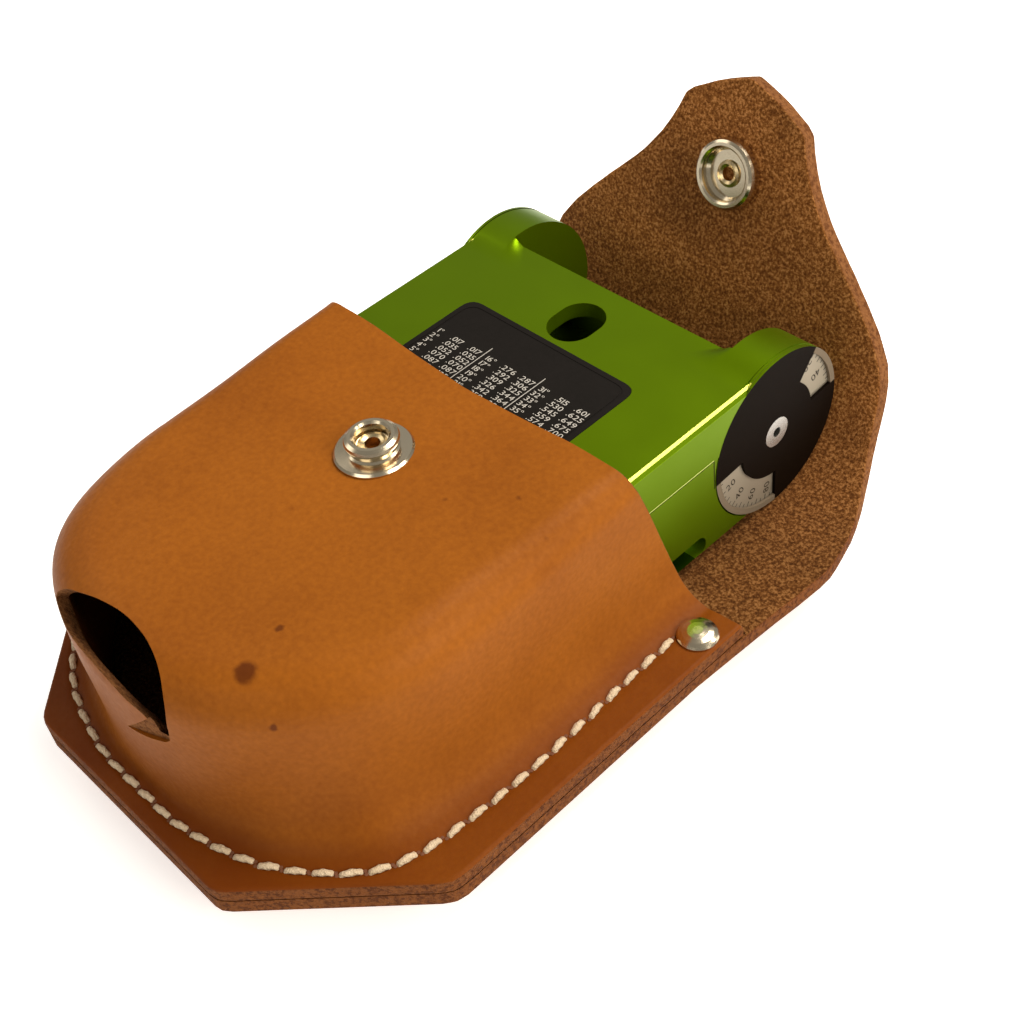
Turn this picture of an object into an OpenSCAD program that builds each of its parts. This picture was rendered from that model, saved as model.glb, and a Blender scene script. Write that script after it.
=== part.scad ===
// Pocket transit drawn part way out of its moulded leather belt case.
// All sizes are millimetres. The origin is the middle of the belt loop's underside, y runs to the flap.

/* [Leather case] */
// Thickness of the case leather
leather_t = 3.2; // [2.8:0.1:3.4]
// Thickness of the belt loop strap
loop_t = 2.5; // [2:0.1:3]
// Height of the gap that takes the belt
loop_gap = 4.7; // [4.5:0.1:8]
// Width of the belt loop strap
loop_w = 40; // [30:1:46]
// Length of the strap's flat middle
loop_len = 56; // [48:1:60]
// Half width of the back panel beside the pouch
panel_hw = 53.25; // [52.5:0.25:55]
// Length of the diagonal corner cuts at the closed end
panel_cut = 27.6; // [20:1:30]
// Panel left beyond the pouch's closed end
panel_tail = 5.7; // [5:0.1:9]
// Gap between the transit and the pouch walls
pouch_fit = 0.4; // [0.3:0.05:0.6]
// Radius of the pouch's top edge at the mouth
mouth_r = 5; // [4.5:0.1:5.5]
// Radius of the pouch's top edge at the closed end
end_r = 8; // [7.4:0.1:8.4]
// Leather left after stretching over the closed end
end_wall = 2.1; // [1.9:0.1:2.4]
// Length of the pouch roof from the middle of its round end to the mouth
roof_len = 40; // [36:0.5:44]
// Lean of the mouth edge toward the closed end
mouth_lean = 16.6; // [10:0.2:18]
// Length of the thumb slot
slot_l = 31; // [24:1:34]
// Height of the thumb slot
slot_h = 8.6; // [6:0.2:10]
// Inner radius of the standing flap's bend
flap_r = 24; // [24:0.5:27]
// Turn of the flap's bend in degrees
flap_turn = 72; // [66:3:75]
// Gap kept in the flap's bending lines
bend_gap = 0.25; // [0.2:0.05:0.4]
// Distance along the flap from the hinge end of the transit to the tongue's fold
fold_s = 50; // [48:0.5:52]
// Distance along the flap to the middle of the snap
snap_s = 59.5; // [58.5:0.5:61]

/* [Transit housing] */
// Width of the transit
transit_w = 73; // [72:0.5:75]
// Length of the straight sides from the hinge end
side_l = 42.5; // [41:0.5:46]
// Thickness of the lid
lid_t = 10.2; // [9.8:0.1:10.8]
// Radius of the hinge ears
ear_r = 17; // [16.5:0.1:17.5]
// Height of the ears above the lid
ear_rise = 1.35; // [1:0.05:1.6]
// Thickness of each ear
ear_t = 7.3; // [6:0.1:8]
// Length of transit drawn out of the pouch
drawn = 36; // [30:1:40]
// Radius of the hinge shaft
shaft_r = 3.1; // [2.6:0.1:3.4]
// Radius of the bowl below the compass circle
bowl_r = 28.4; // [28.2:0.1:28.8]
// Radius of the bowl around the compass circle
ring_seat_r = 31; // [30.8:0.1:31.4]
// Radius of the glass
glass_r = 33.4; // [33:0.1:33.6]
// Bright chamfer round the lid's top
chamfer = 1; // [0.6:0.1:1.4]
// Width of the lid's sighting window
window_w = 9.5; // [8:0.5:11]
// Length of the lid's sighting window
window_l = 12; // [10:0.5:13]

/* [Works] */
// Teeth on the compass circle
ring_teeth = 72; // [64:8:72]
// Teeth on the adjusting pinion
pinion_teeth = 9; // [8:1:9]
// Half length of the compass needle
needle_l = 24; // [20:0.5:24.3]
// Running gap round turning shafts
run = 0.05; // [0.03:0.01:0.08]
// Radius of the round level
level_r = 6.5; // [5.5:0.1:6.8]
// Radius of the clinometer's level vial
vial_r = 2.6; // [2:0.1:2.8]

/* [Hidden] */
$fn = 96;
ear_clear = 0.55;
fold_relief = 2.15;
label_sink = 0.45;
hw = transit_w / 2;
z_panel = loop_t + loop_gap;
z_top = z_panel + leather_t;
z_flange = z_top + leather_t;
hinge_y = 55;
axis_y = hinge_y + 2.2;
axis_z = z_top + ear_clear + ear_r;
z_bot = z_top + ear_clear + ear_rise;
z_lid = axis_z + ear_r - ear_rise;
z_part = z_lid - lid_t;
bowl_y = hinge_y - side_l;
home_y = bowl_y - drawn;
pouch_hw = hw + pouch_fit + leather_t;
z_roof = z_lid + 0.4 + leather_t;
z_brow = axis_z + ear_r + 1.15 + leather_t;
mouth_y = home_y + roof_len;
tail_y = home_y - pouch_hw - panel_tail;
ear_out = hw - 1.3;
ear_in = ear_out - ear_t;
barrel_x = ear_in - 0.3;
arc_y = 57;
arc_z = z_top + flap_r;
s_arc = arc_y - hinge_y;
s_end = s_arc + flap_r * flap_turn * PI / 180;
z_floor = z_bot + 4.2;
z_seat = z_part - 6.85;
z_gasket = z_part - 3.2;
pitch_r = ring_seat_r - 4.4;
module_mm = 2 * pitch_r / ring_teeth;
pinion_r = module_mm * pinion_teeth / 2;
pinion_z = z_seat - 0.8 - pinion_r - 0.08;
lug_y = bowl_y - hw + 1.6;
sight_y = bowl_y - ring_seat_r + 2.3;
lift_at = glass_r + 2.6;
lift_a = -36;

// Half width of the back panel and flap at a distance along the leather from the transit's hinge end
flap_widths = [
    [-25, 0.85], [-20, 1.15], [-14, 1.65], [-8, 1.95], [-5, 1.85], [-2.4, 1.35], [0.7, 0.55],
    [4.1, -0.45], [7.1, -1.65], [10.2, -3.05], [13.4, -4.65], [16.5, -6.05], [19.6, -7.35],
    [22.7, -8.35], [25.8, -9.05], [29, -9.65], [32.3, -10.35], [35.6, -11.45], [38.3, -13.25],
    [43, -17.05], [47, -20.85], [51, -24.85], [55.1, -28.95], [59.6, -32.65], [62, -34.35],
    [65, -36.05], [68, -37.45], [71.2, -38.65], [72.6, -40.25], [73.7, -42.35], [75, -44.75],
    [76.1, -47.25], [77.2, -50.25], [77.7, -51.6], [78, -52.9]
];
function half_w(s) = panel_hw + lookup(s, flap_widths);

// Point of the flap's bend at an angle and a radius
function bend_pt(a, r) = [arc_y + r * sin(a), arc_z - r * cos(a)];

// Point on the inner face of the flap's straight part
function wall_pt(s) = bend_pt(flap_turn, flap_r) + (s - s_end) * [cos(flap_turn), sin(flap_turn)];

// Polygon whose corners are eased over a length d
function unit(v) = v / norm(v);
function ease(a, p, b, d) =
    let(u = p + unit(a - p) * d, v = p + unit(b - p) * d)
    [for (t = [0:0.2:1]) u * (1 - t) * (1 - t) + p * 2 * t * (1 - t) + v * t * t];
function soften(q, d) = [for (i = [0:len(q) - 1]) each
    ease(q[(i + len(q) - 1) % len(q)], q[i], q[(i + 1) % len(q)], d)];

// Cross section in y and z drawn out along x
module along_x(w) {
    rotate([90, 0, 90])
    linear_extrude(w, center = true)
    children();
}

// Rod along x between two stations
module rod_x(x0, x1, y, z, r) {
    translate([x0, y, z])
    rotate([0, 90, 0])
    cylinder(h = x1 - x0, r = r);
}

// Flat plate with half round ends, lying along y
module obround(w, l, h) {
    linear_extrude(h)
    union() {
        square([w, l - w], center = true);
        translate([0, (l - w) / 2]) circle(d = w);
        translate([0, -(l - w) / 2]) circle(d = w);
    }
}

// Housing block with one round end and chamfered edges
module housing(z0, z1, y1, c0, c1) {
    section = [[0, z0], [hw - c0, z0], [hw, z0 + c0], [hw, z1 - c1], [hw - c1, z1], [0, z1]];
    translate([0, bowl_y, 0])
    rotate_extrude()
    polygon(section);
    translate([0, y1, 0])
    rotate([90, 0, 0])
    linear_extrude(y1 - bowl_y)
    union() {
        polygon(section);
        mirror([1, 0]) polygon(section);
    }
}

// Panel outline up to the flap's first bending line
module panel_outline() {
    rim = [
        [panel_hw - panel_cut, tail_y], [panel_hw, tail_y + panel_cut * 0.98], [panel_hw + 0.3, 10]
    ];
    tail = soften([
        [-panel_hw, 0], rim[1] - [2 * rim[1][0], 0], rim[0] - [2 * rim[0][0], 0],
        rim[0], rim[1], [panel_hw, 0]
    ], 3.5);
    body = [for (y = [30, 35, 41, 47, 50, 52.6, 55.7, arc_y]) [half_w(y - hinge_y), y]];
    union() {
        intersection() {
            polygon(tail);
            translate([-80, tail_y - 1]) square([160, 1 + abs(tail_y) - 8]);
        }
        polygon([each [for (p = body) p], each [for (i = [len(body) - 1:-1:0]) [-body[i][0], body[i][1]]],
            [-panel_hw, -8.5], [panel_hw, -8.5]]);
    }
}

// Rivet through stacked leather from z0 to z1
module rivet(z0, z1, dome, flat, dome_up) {
    s = dome_up ? 1 : -1;
    zd = dome_up ? z1 : z0;
    zf = dome_up ? z0 : z1;
    translate([0, 0, zd])
    mirror([0, 0, dome_up ? 0 : 1])
    rotate_extrude()
    polygon([[0, 0], [dome, 0], [dome, 0.35], [dome * 0.93, 0.75], [dome * 0.75, 1.1],
        [dome * 0.5, 1.35], [dome * 0.25, 1.47], [0, 1.5]]);
    translate([0, 0, z0]) cylinder(h = z1 - z0, r = 1.2);
    translate([0, 0, zf - s * 0.4]) cylinder(h = 0.8, r = flat, center = true);
}

// Leather of the case back, cut to shape, with its rounded socket for the flap's first bend
module back_panel() {
    color([0.55, 0.3, 0.12])
    difference() {
        translate([0, 0, z_panel]) linear_extrude(leather_t) panel_outline();
        rod_x(-70, 70, arc_y, z_panel + leather_t / 2, leather_t / 2 + bend_gap);
        for (x = [-1, 1]) {
            translate([x * 49.2, mouth_y + 3.5, 0]) cylinder(h = 60, r = 1.25);
            for (y = [-1, 1]) translate([x * 12, y * (loop_len / 2 + 14), 0]) cylinder(h = 60, r = 1.25);
        }
    }
}

// Height of the pouch roof across its width, low in the middle and raised where the ears pass
function brow(x) = z_roof + (z_brow - z_roof) * (1 - cos(180 * min(1, max(0, (abs(x) - 14) / 16)))) / 2;

// Blank for the outside or the inside of the moulded pouch
module pouch_form(wall, far_wall, z0, drop) {
    intersection() {
        hull() {
            for (x = [-1, 1]) translate([x * (pouch_hw - mouth_r), mouth_y + 24, z_brow - mouth_r])
                sphere(r = mouth_r - wall, $fn = 32);
            translate([0, home_y, z_roof - end_r])
            rotate_extrude($fn = 64)
            translate([pouch_hw - end_r, 0])
            circle(r = end_r - far_wall, $fn = 32);
            translate([0, home_y, z0]) cylinder(h = 0.4, r = pouch_hw - far_wall, $fn = 64);
            translate([wall - pouch_hw, mouth_y + 20, z0]) cube([2 * (pouch_hw - wall), 4, 0.4]);
        }
        rotate([90, 0, 0])
        linear_extrude(260, center = true)
        polygon([[60, -5], [60, brow(60) - drop], each [for (x = [32:-2:-32]) [x, brow(x) - drop]],
            [-60, brow(60) - drop], [-60, -5]]);
    }
}

// Foot of the pouch wall, flaring out to the stitched flange
module pouch_skirt() {
    stations = [[0, 4.6], [2.2, 2.2], [7.7, 0]];
    for (i = [0:1]) hull() {
        for (k = [i, i + 1]) translate([0, 0, z_flange - 0.1 + stations[k][0]]) {
            translate([0, home_y, 0]) cylinder(h = 0.1, r = pouch_hw + stations[k][1] * 0.35, $fn = 64);
            translate([-pouch_hw - stations[k][1], home_y + 6, 0])
                cube([2 * (pouch_hw + stations[k][1]), 90, 0.1]);
        }
    }
}

// Moulded front of the case with its flange, dished roof, leaning mouth and thumb slot
module pouch_front() {
    color([0.69, 0.4, 0.17])
    difference() {
        union() {
            pouch_form(0, 0, z_flange - 1, 0);
            pouch_skirt();
            translate([0, 0, z_top]) linear_extrude(leather_t) panel_outline();
        }
        pouch_form(leather_t, end_wall, z_top - 1, leather_t);
        translate([0, mouth_y, z_roof])
        rotate([mouth_lean, 0, 0])
        translate([-90, 0, -90]) cube([180, 90, 180]);
        thumb_slot();
        translate([0, home_y + 18, 0]) cylinder(h = 90, r = 2.1);
        translate([0, home_y + 18, z_lid - 4]) cylinder(h = 5.3, r = 5);
        for (x = [-1, 1]) translate([x * 49.2, mouth_y + 3.5, 0]) cylinder(h = 30, r = 1.25);
    }
}

// Cutter for the thumb slot over the rounded closed end
module thumb_slot() {
    big = (slot_l * slot_l / 4 + slot_h * slot_h) / (2 * slot_h);
    translate([0, home_y - 36.5, z_lid - 0.5])
    rotate([32.5, 0, 0])
    translate([-1.5, -2.4, -12])
    rotate([0, 0, -14.4])
    linear_extrude(24)
    intersection() {
        translate([0, slot_h - big]) circle(r = big);
        translate([0, 110 - 0.8]) circle(r = 110);
    }
}

// Two domed rivets at the pouch mouth
module mouth_rivets() {
    color([0.75, 0.74, 0.7])
    for (x = [-1, 1]) translate([x * 49.2, mouth_y + 3.5, 0]) rivet(z_panel, z_flange, 3.8, 3.4, true);
}

// Male half of the snap on the pouch roof
module snap_stud() {
    color([0.75, 0.74, 0.7])
    translate([0, home_y + 18, z_roof])
    rotate_extrude()
    polygon([[2.1, 0], [7.07, 0], [7.07, 0.4], [6.7, 0.8], [4.7, 1], [4.3, 1.3], [4.3, 2], [4.8, 2.5],
        [4.9, 2.9], [4.7, 3.4], [4.1, 3.8], [3.5, 3.8], [3.1, 3.4], [3, 1.6], [2.1, 1.4]]);
}

// Brass eyelet that clinches the stud through the roof
module stud_eyelet() {
    color([0.78, 0.6, 0.3])
    translate([0, home_y + 18, 0])
    rotate_extrude()
    polygon([[1.4, z_lid + 0.7], [4.6, z_lid + 0.7], [4.6, z_lid + 1.3], [2, z_lid + 1.3],
        [2, z_roof + 1.55], [2.7, z_roof + 1.6], [2.6, z_roof + 2], [2, z_roof + 2.15], [1.4, z_roof + 1.9]]);
}

// Belt loop strap, riveted to the panel at both ends
module belt_loop() {
    a = loop_len / 2;
    function lift(y) = loop_gap * (1 - cos(180 * min(1, max(0, (abs(y) - a) / 8)))) / 2;
    ys = [for (y = [-a - 20:1:a + 20]) y];
    color([0.5, 0.27, 0.11])
    difference() {
        along_x(loop_w)
        polygon([each [for (y = ys) [y, lift(y)]],
            each [for (i = [len(ys) - 1:-1:0]) [ys[i], lift(ys[i]) + loop_t]]]);
        for (x = [-12, 12], y = [-1, 1]) translate([x, y * (a + 14), -5]) cylinder(h = 30, r = 1.25);
    }
}

// Four rivets of the belt loop, domed below and flat inside the case
module loop_rivets() {
    color([0.75, 0.74, 0.7])
    for (x = [-12, 12], y = [-1, 1]) translate([x, y * (loop_len / 2 + 14), 0])
        rivet(z_panel - loop_t, z_top, 3.4, 3.4, false);
}

// Half round nose of a flap piece about c, from its outer face to its inner face
function nose(c, a) = [for (t = [12:12:168])
    c + leather_t / 2 * (cos(t) * [sin(a), -cos(a)] - sin(t) * [cos(a), sin(a)])];

// Part of the flap's bend between two angles, round nosed at its start and socketed at its end
module bend_section(a0, a1) {
    difference() {
        polygon([each [for (a = [a0:3:a1]) bend_pt(a, flap_r)],
            each [for (a = [a1:-3:a0]) bend_pt(a, flap_r + leather_t)],
            each nose(bend_pt(a0, flap_r + leather_t / 2), a0)]);
        translate(bend_pt(a1, flap_r + leather_t / 2)) circle(d = leather_t + 2 * bend_gap);
    }
}

// Flap outline from s0 to s1, laid on the plane at angle am and drawn through the leather
module flap_cutter(s0, s1, am) {
    function p(s) = s < s_end
        ? flap_r * sin((s - s_arc) * 180 / PI / flap_r - am)
        : flap_r * sin(flap_turn - am) + (s - s_end) * cos(flap_turn - am);
    ss = [for (k = [0:30]) s0 + (s1 - s0) * k / 30];
    translate([0, arc_y, arc_z])
    rotate([am, 0, 0])
    translate([0, 0, -flap_r - 8])
    linear_extrude(14)
    polygon([each [for (s = ss) [half_w(s), p(s)]],
        each [for (i = [30:-1:0]) [-half_w(ss[i]), p(ss[i])]]]);
}

// Lower third of the flap's bend
module flap_bend_lower() {
    a = flap_turn / 3;
    color([0.5, 0.3, 0.16])
    intersection() {
        along_x(130) bend_section(0, a);
        flap_cutter(s_arc - 2, s_arc + flap_r * a * PI / 180 + 2, a / 2);
    }
}

// Middle third of the flap's bend
module flap_bend_upper() {
    a = flap_turn / 3;
    s0 = s_arc + flap_r * a * PI / 180;
    color([0.5, 0.3, 0.16])
    intersection() {
        along_x(130) bend_section(a, 2 * a);
        flap_cutter(s0 - 2, s0 + flap_r * a * PI / 180 + 2, a * 1.5);
    }
}

// Upper third of the bend and the straight wall up to the tongue's fold
module flap_wall() {
    a = flap_turn / 3;
    n = [sin(flap_turn), -cos(flap_turn)] * leather_t;
    color([0.5, 0.3, 0.16])
    intersection() {
        along_x(130)
        difference() {
            polygon([each [for (k = [2 * a:3:flap_turn - 1]) bend_pt(k, flap_r)], wall_pt(s_end),
                wall_pt(fold_s), wall_pt(fold_s) + n, wall_pt(s_end) + n,
                each [for (k = [flap_turn - 3:-3:2 * a]) bend_pt(k, flap_r + leather_t)],
                each nose(bend_pt(2 * a, flap_r + leather_t / 2), 2 * a)]);
            translate(wall_pt(fold_s) + n / 2) circle(d = leather_t + 2 * bend_gap);
            translate(wall_pt(fold_s) + n / 2)
            rotate(flap_turn)
            translate([-fold_relief, 0]) square([fold_relief + 0.6, leather_t]);
        }
        flap_cutter(s_end - flap_r * a * PI / 180 - 2, fold_s + 1, flap_turn);
    }
}

// Tongue of the flap with the hole for its snap
module flap_tongue() {
    n = [sin(flap_turn), -cos(flap_turn)] * leather_t;
    color([0.5, 0.3, 0.16])
    difference() {
        intersection() {
            along_x(130)
            polygon([wall_pt(fold_s), wall_pt(79), wall_pt(79) + n, wall_pt(fold_s) + n,
                each nose(wall_pt(fold_s) + n / 2, flap_turn)]);
            flap_cutter(fold_s - 3, 78, flap_turn);
        }
        at_snap() cylinder(h = 20, r = 2.1, center = true);
    }
}

// Frame at the middle of the tongue's snap, z pointing off the leather toward the pouch
module at_snap() {
    p = wall_pt(snap_s);
    translate([0, p[0], p[1]])
    rotate([flap_turn, 0, 0])
    children();
}

// Female half of the snap on the tongue
module snap_socket() {
    color([0.75, 0.74, 0.7])
    at_snap()
    rotate_extrude()
    polygon([[2.1, 0], [7, 0], [7, 2], [6.8, 2.6], [6.3, 3], [5.7, 3], [5.3, 2.7], [5.2, 2.2],
        [5.2, 1.4], [4.6, 0.8], [2.1, 0.8]]);
}

// Brass cap of the snap on the flap's outer face, with its clinched post
module snap_cap() {
    t = -leather_t;
    color([0.78, 0.6, 0.3])
    at_snap()
    rotate_extrude()
    polygon([[0, t - 1.8], [3, t - 1.7], [5.4, t - 1.3], [7, t - 0.7], [7.5, t - 0.2], [7.4, t],
        [2, t], [2, 0.8], [2.7, 0.8], [2.6, 1.2], [2, 1.4], [1.4, 1.1], [1.4, t - 0.9], [0, t - 0.9]]);
}

// Milled base of the transit with its stepped bowl, hinge barrel and screw seats
module body_shell() {
    color([0.38, 0.5, 0.1])
    difference() {
        union() {
            intersection() {
                housing(z_bot, z_part, axis_y - 0.7, 0.8, 0);
                union() {
                    translate([-60, -60, 0]) cube([120, 60 + hinge_y - 0.5, z_part]);
                    translate([-60, 0, 0]) cube([120, axis_y - 0.7, axis_z - 5.3]);
                }
            }
            rod_x(-barrel_x, barrel_x, axis_y, axis_z, 5.2);
            translate([-barrel_x, hinge_y - 4, z_bot + 6]) cube([2 * barrel_x, 3.6, axis_z - z_bot - 6]);
            for (x = [-6, 3]) translate([x, lug_y - 1, z_part - 1]) cube([3, 2.3, 3.4]);
        }
        for (x = [-1, 1]) {
            rod_x(x > 0 ? barrel_x : -60, x > 0 ? 60 : -barrel_x, axis_y, axis_z, ear_r + 0.3);
            translate([x * hw - 2.6, hinge_y - 30, z_bot + 0.7]) cube([5.2, 9.9, 4.2]);
            rod_x(x * hw - 2.6, x * hw + 2.6, hinge_y - 20.1, z_bot + 2.8, 2.1);
        }
        rod_x(-60, 60, axis_y, axis_z, shaft_r + 0.02);
        translate([0, bowl_y, z_floor]) cylinder(h = 40, r = bowl_r);
        translate([0, bowl_y, z_seat]) cylinder(h = 40, r = ring_seat_r);
        translate([0, bowl_y, z_seat - 1.9]) cylinder(h = 40, r = ring_seat_r - 2.7);
        translate([0, bowl_y, z_gasket]) cylinder(h = 40, r = glass_r + 0.15);
        translate([0, bowl_y, z_bot - 1]) cylinder(h = 3.2, r = 12);
        translate([0, bowl_y, 0]) cylinder(h = 30, r = 1.8 + run);
        rod_x(-60, -20, bowl_y, pinion_z, 2 + run);
        rod_x(-60, -hw + 2, bowl_y, pinion_z, 3.6);
        translate([0, bowl_y, z_seat - 3])
        rotate([0, 0, lift_a]) {
            translate([0, lift_at, 0]) cylinder(h = 20, r = 1.55);
            translate([-2.5, 0, 0]) cube([5, lift_at + 2.2, 3.4]);
        }
        rod_x(-7, 7, lug_y, z_part + 1.2, 0.72);
    }
}

// Stainless hinge shaft with a fine bore
module hinge_shaft() {
    color([0.8, 0.8, 0.78])
    difference() {
        rod_x(-hw, hw, axis_y, axis_z, shaft_r);
        rod_x(-50, 50, axis_y, axis_z, 1);
    }
}

// Thin washers between the barrel and the ears
module hinge_washers() {
    color([0.85, 0.82, 0.7])
    for (x = [-1, 1]) difference() {
        rod_x(x > 0 ? barrel_x : -ear_in + 0.05, x > 0 ? ear_in - 0.05 : -barrel_x, axis_y, axis_z, 5);
        rod_x(-50, 50, axis_y, axis_z, shaft_r + 0.02);
    }
}

// Sector from angle a0 to a1 between two radii, in the plane of an ear
module sector(a0, a1, r0, r1) {
    polygon([each [for (k = [0:24]) let(a = a0 + (a1 - a0) * k / 24) r1 * [cos(a), sin(a)]],
        each [for (k = [24:-1:0]) let(a = a0 + (a1 - a0) * k / 24) r0 * [cos(a), sin(a)]]]);
}

// Dark cover of one dial with its two windows
module dial_cover(side) {
    color([0.1, 0.09, 0.08])
    translate([side * (hw - 0.3), axis_y, axis_z])
    along_x(0.6)
    difference() {
        circle(r = ear_r);
        circle(r = shaft_r + 0.02);
        sector(-176, -91, 9.6, 15.8);
        sector(5, 50, 10, 15.8);
    }
}

module dial_cover_right() {
    dial_cover(1);
}

module dial_cover_left() {
    dial_cover(-1);
}

// Plate on the bowl floor that carries the clinometer degrees
module clinometer_dial() {
    color([0.75, 0.74, 0.7])
    translate([0, bowl_y, z_floor])
    difference() {
        union() {
            cylinder(h = 0.8, r = bowl_r - 3.9);
            difference() {
                cylinder(h = 1.3, r = bowl_r - 3.9);
                cylinder(h = 3, r = bowl_r - 7.4);
            }
        }
        cylinder(h = 3, r = 1.8 + 3 * run, center = true);
    }
}

// Rubber ring under the glass
module glass_gasket() {
    color([0.12, 0.12, 0.12])
    translate([0, bowl_y, z_gasket])
    difference() {
        cylinder(h = 0.8, r = glass_r + 0.1);
        cylinder(h = 3, r = ring_seat_r + 0.2, center = true);
    }
}

// Cover glass over the compass
module glass() {
    color([0.85, 0.93, 0.93, 0.4])
    translate([0, bowl_y, z_gasket + 0.8]) cylinder(h = 1.8, r = glass_r);
}

// Spring ring that holds the glass down
module glass_ring() {
    color([0.2, 0.2, 0.2])
    translate([0, bowl_y, z_gasket + 2.6])
    difference() {
        cylinder(h = 0.5, r = glass_r + 0.1);
        cylinder(h = 3, r = ring_seat_r, center = true);
        translate([-1, 20, -1]) cube([2, 20, 3]);
    }
}

// Cup of the round level
module round_level_holder() {
    color([0.78, 0.6, 0.3])
    translate([0, bowl_y + 14, z_floor + 0.8])
    difference() {
        cylinder(h = 3.8, r = level_r);
        translate([0, 0, 0.9]) cylinder(h = 9, r = level_r - 0.8);
    }
}

// Domed vial of the round level
module round_level() {
    r = level_r - 0.85;
    color([0.7, 0.85, 0.4, 0.6])
    translate([0, bowl_y + 14, z_floor + 1.7])
    rotate_extrude()
    polygon([[0, 0], [r, 0], [r, 3.2], [r * 0.75, 3.55], [r * 0.4, 3.75], [0, 3.85]]);
}

// Lever that lifts the needle when the lid is shut
module lift_lever() {
    color([0.75, 0.74, 0.7])
    translate([0, bowl_y, z_seat - 3])
    rotate([0, 0, lift_a])
    linear_extrude(0.8)
    difference() {
        union() {
            translate([-1.25, 0]) square([2.5, lift_at]);
            translate([0, lift_at]) circle(r = 2);
            circle(r = 3.4);
        }
        circle(r = 2.2);
        translate([-2.2, -5]) square([4.4, 5]);
    }
}

// Pin that the lid presses on the lever
module lift_pin() {
    color([0.8, 0.8, 0.78])
    translate([0, bowl_y, 0])
    rotate([0, 0, lift_a])
    translate([0, lift_at, z_seat - 2.2])
    cylinder(h = z_part - z_seat + 2.1, r = 1.5);
}

// Long folding sight lying over the glass
module large_sight() {
    color([0.38, 0.5, 0.1])
    difference() {
        union() {
            rod_x(-2.9, 2.9, lug_y, z_part + 1.2, 1.1);
            translate([0, 0, z_part + 0.6])
            linear_extrude(1.2)
            polygon(soften([[-2.9, lug_y], [-2.9, lug_y + 6], [-6.5, lug_y + 10], [-6.5, bowl_y + 12],
                [6.5, bowl_y + 12], [6.5, lug_y + 10], [2.9, lug_y + 6], [2.9, lug_y]], 0.4));
        }
        translate([0, bowl_y - 4, z_part]) obround(3, 24, 6);
        rod_x(-9, 9, lug_y, z_part + 1.2, 0.72);
    }
}

// Pin of the long sight
module large_sight_pin() {
    color([0.8, 0.8, 0.78])
    rod_x(-6, 6, lug_y, z_part + 1.2, 0.7);
}

// Lid with its ears, sighting window, recess and seats
module lid_shell() {
    color([0.38, 0.5, 0.1])
    difference() {
        union() {
            difference() {
                housing(z_part, z_lid, hinge_y, 0, chamfer);
                for (x = [-60, ear_out]) rod_x(x, x + 60 - ear_out, axis_y, axis_z, ear_r + 0.08);
                translate([0, bowl_y, z_part - 1]) cylinder(h = lid_t - 2.2, r = ring_seat_r);
                translate([-12, bowl_y, z_part - 1]) cube([24, side_l - 3, lid_t - 2.2]);
                translate([-7.5, bowl_y - hw - 1, z_part - 1]) cube([15, hw - ring_seat_r + 3.5, 4.2]);
            }
            for (x = [ear_in, -ear_out]) rod_x(x, x + ear_t, axis_y, axis_z, ear_r);
            for (x = [-7.6, 5.2]) translate([x, sight_y - 1.6, z_lid - 6.8]) cube([2.4, 3.4, 5]);
        }
        rod_x(-60, 60, axis_y, axis_z, shaft_r + run);
        translate([-0.5, hinge_y - 10.8, z_part]) obround(window_w, window_l, 30);
        translate([0, 0, z_lid - label_sink]) linear_extrude(2) label_outline(0.05);
        rod_x(-9, 9, sight_y, z_lid - 6, 0.72);
    }
}

// Outline of the label plate, grown by g
module label_outline(g) {
    a = 21.4 + g;
    polygon(soften([[-a, hinge_y - 68 - g], [a, hinge_y - 68 - g], [a, hinge_y - 18 + g],
        [-a, hinge_y - 18 + g]], 3));
}

// Mirror inside the lid
module mirror_glass() {
    color([0.85, 0.88, 0.9])
    translate([0, bowl_y, z_lid - 4]) cylinder(h = 0.8, r = ring_seat_r - 7);
}

// Ring that frames the mirror
module mirror_ring() {
    color([0.1, 0.1, 0.1])
    translate([0, bowl_y, z_lid - 4.7])
    difference() {
        cylinder(h = 1.5, r = ring_seat_r - 5.6);
        translate([0, 0, 0.7]) cylinder(h = 3, r = ring_seat_r - 6.95);
        cylinder(h = 5, r = ring_seat_r - 7.8, center = true);
    }
}

// Black plate let into the lid's top
module label_plate() {
    color([0.09, 0.08, 0.07])
    translate([0, 0, z_lid - label_sink])
    difference() {
        linear_extrude(0.5) label_outline(0);
        translate([0, 0, 0.4])
        linear_extrude(1)
        difference() {
            label_outline(-1.1);
            label_outline(-1.5);
        }
    }
}

// Graduated disc fixed to one ear
module dial_scale(side) {
    color([0.6, 0.55, 0.45])
    translate([side * (ear_out + 0.3), axis_y, axis_z])
    along_x(0.6)
    difference() {
        circle(r = ear_r - 0.1);
        circle(r = shaft_r + run);
    }
}

module dial_scale_right() {
    dial_scale(1);
}

module dial_scale_left() {
    dial_scale(-1);
}

// Short folding sight inside the lid
module small_sight() {
    color([0.38, 0.5, 0.1])
    difference() {
        union() {
            rod_x(-5.1, 5.1, sight_y, z_lid - 6, 1.1);
            translate([-4.6, sight_y, z_lid - 6.5]) cube([9.2, 17, 1.2]);
        }
        translate([0, sight_y + 10, z_lid - 9]) obround(2.4, 9, 9);
        rod_x(-9, 9, sight_y, z_lid - 6, 0.72);
    }
}

// Pin of the short sight
module small_sight_pin() {
    color([0.8, 0.8, 0.78])
    rod_x(-7.6, 7.6, sight_y, z_lid - 6, 0.7);
}

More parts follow.
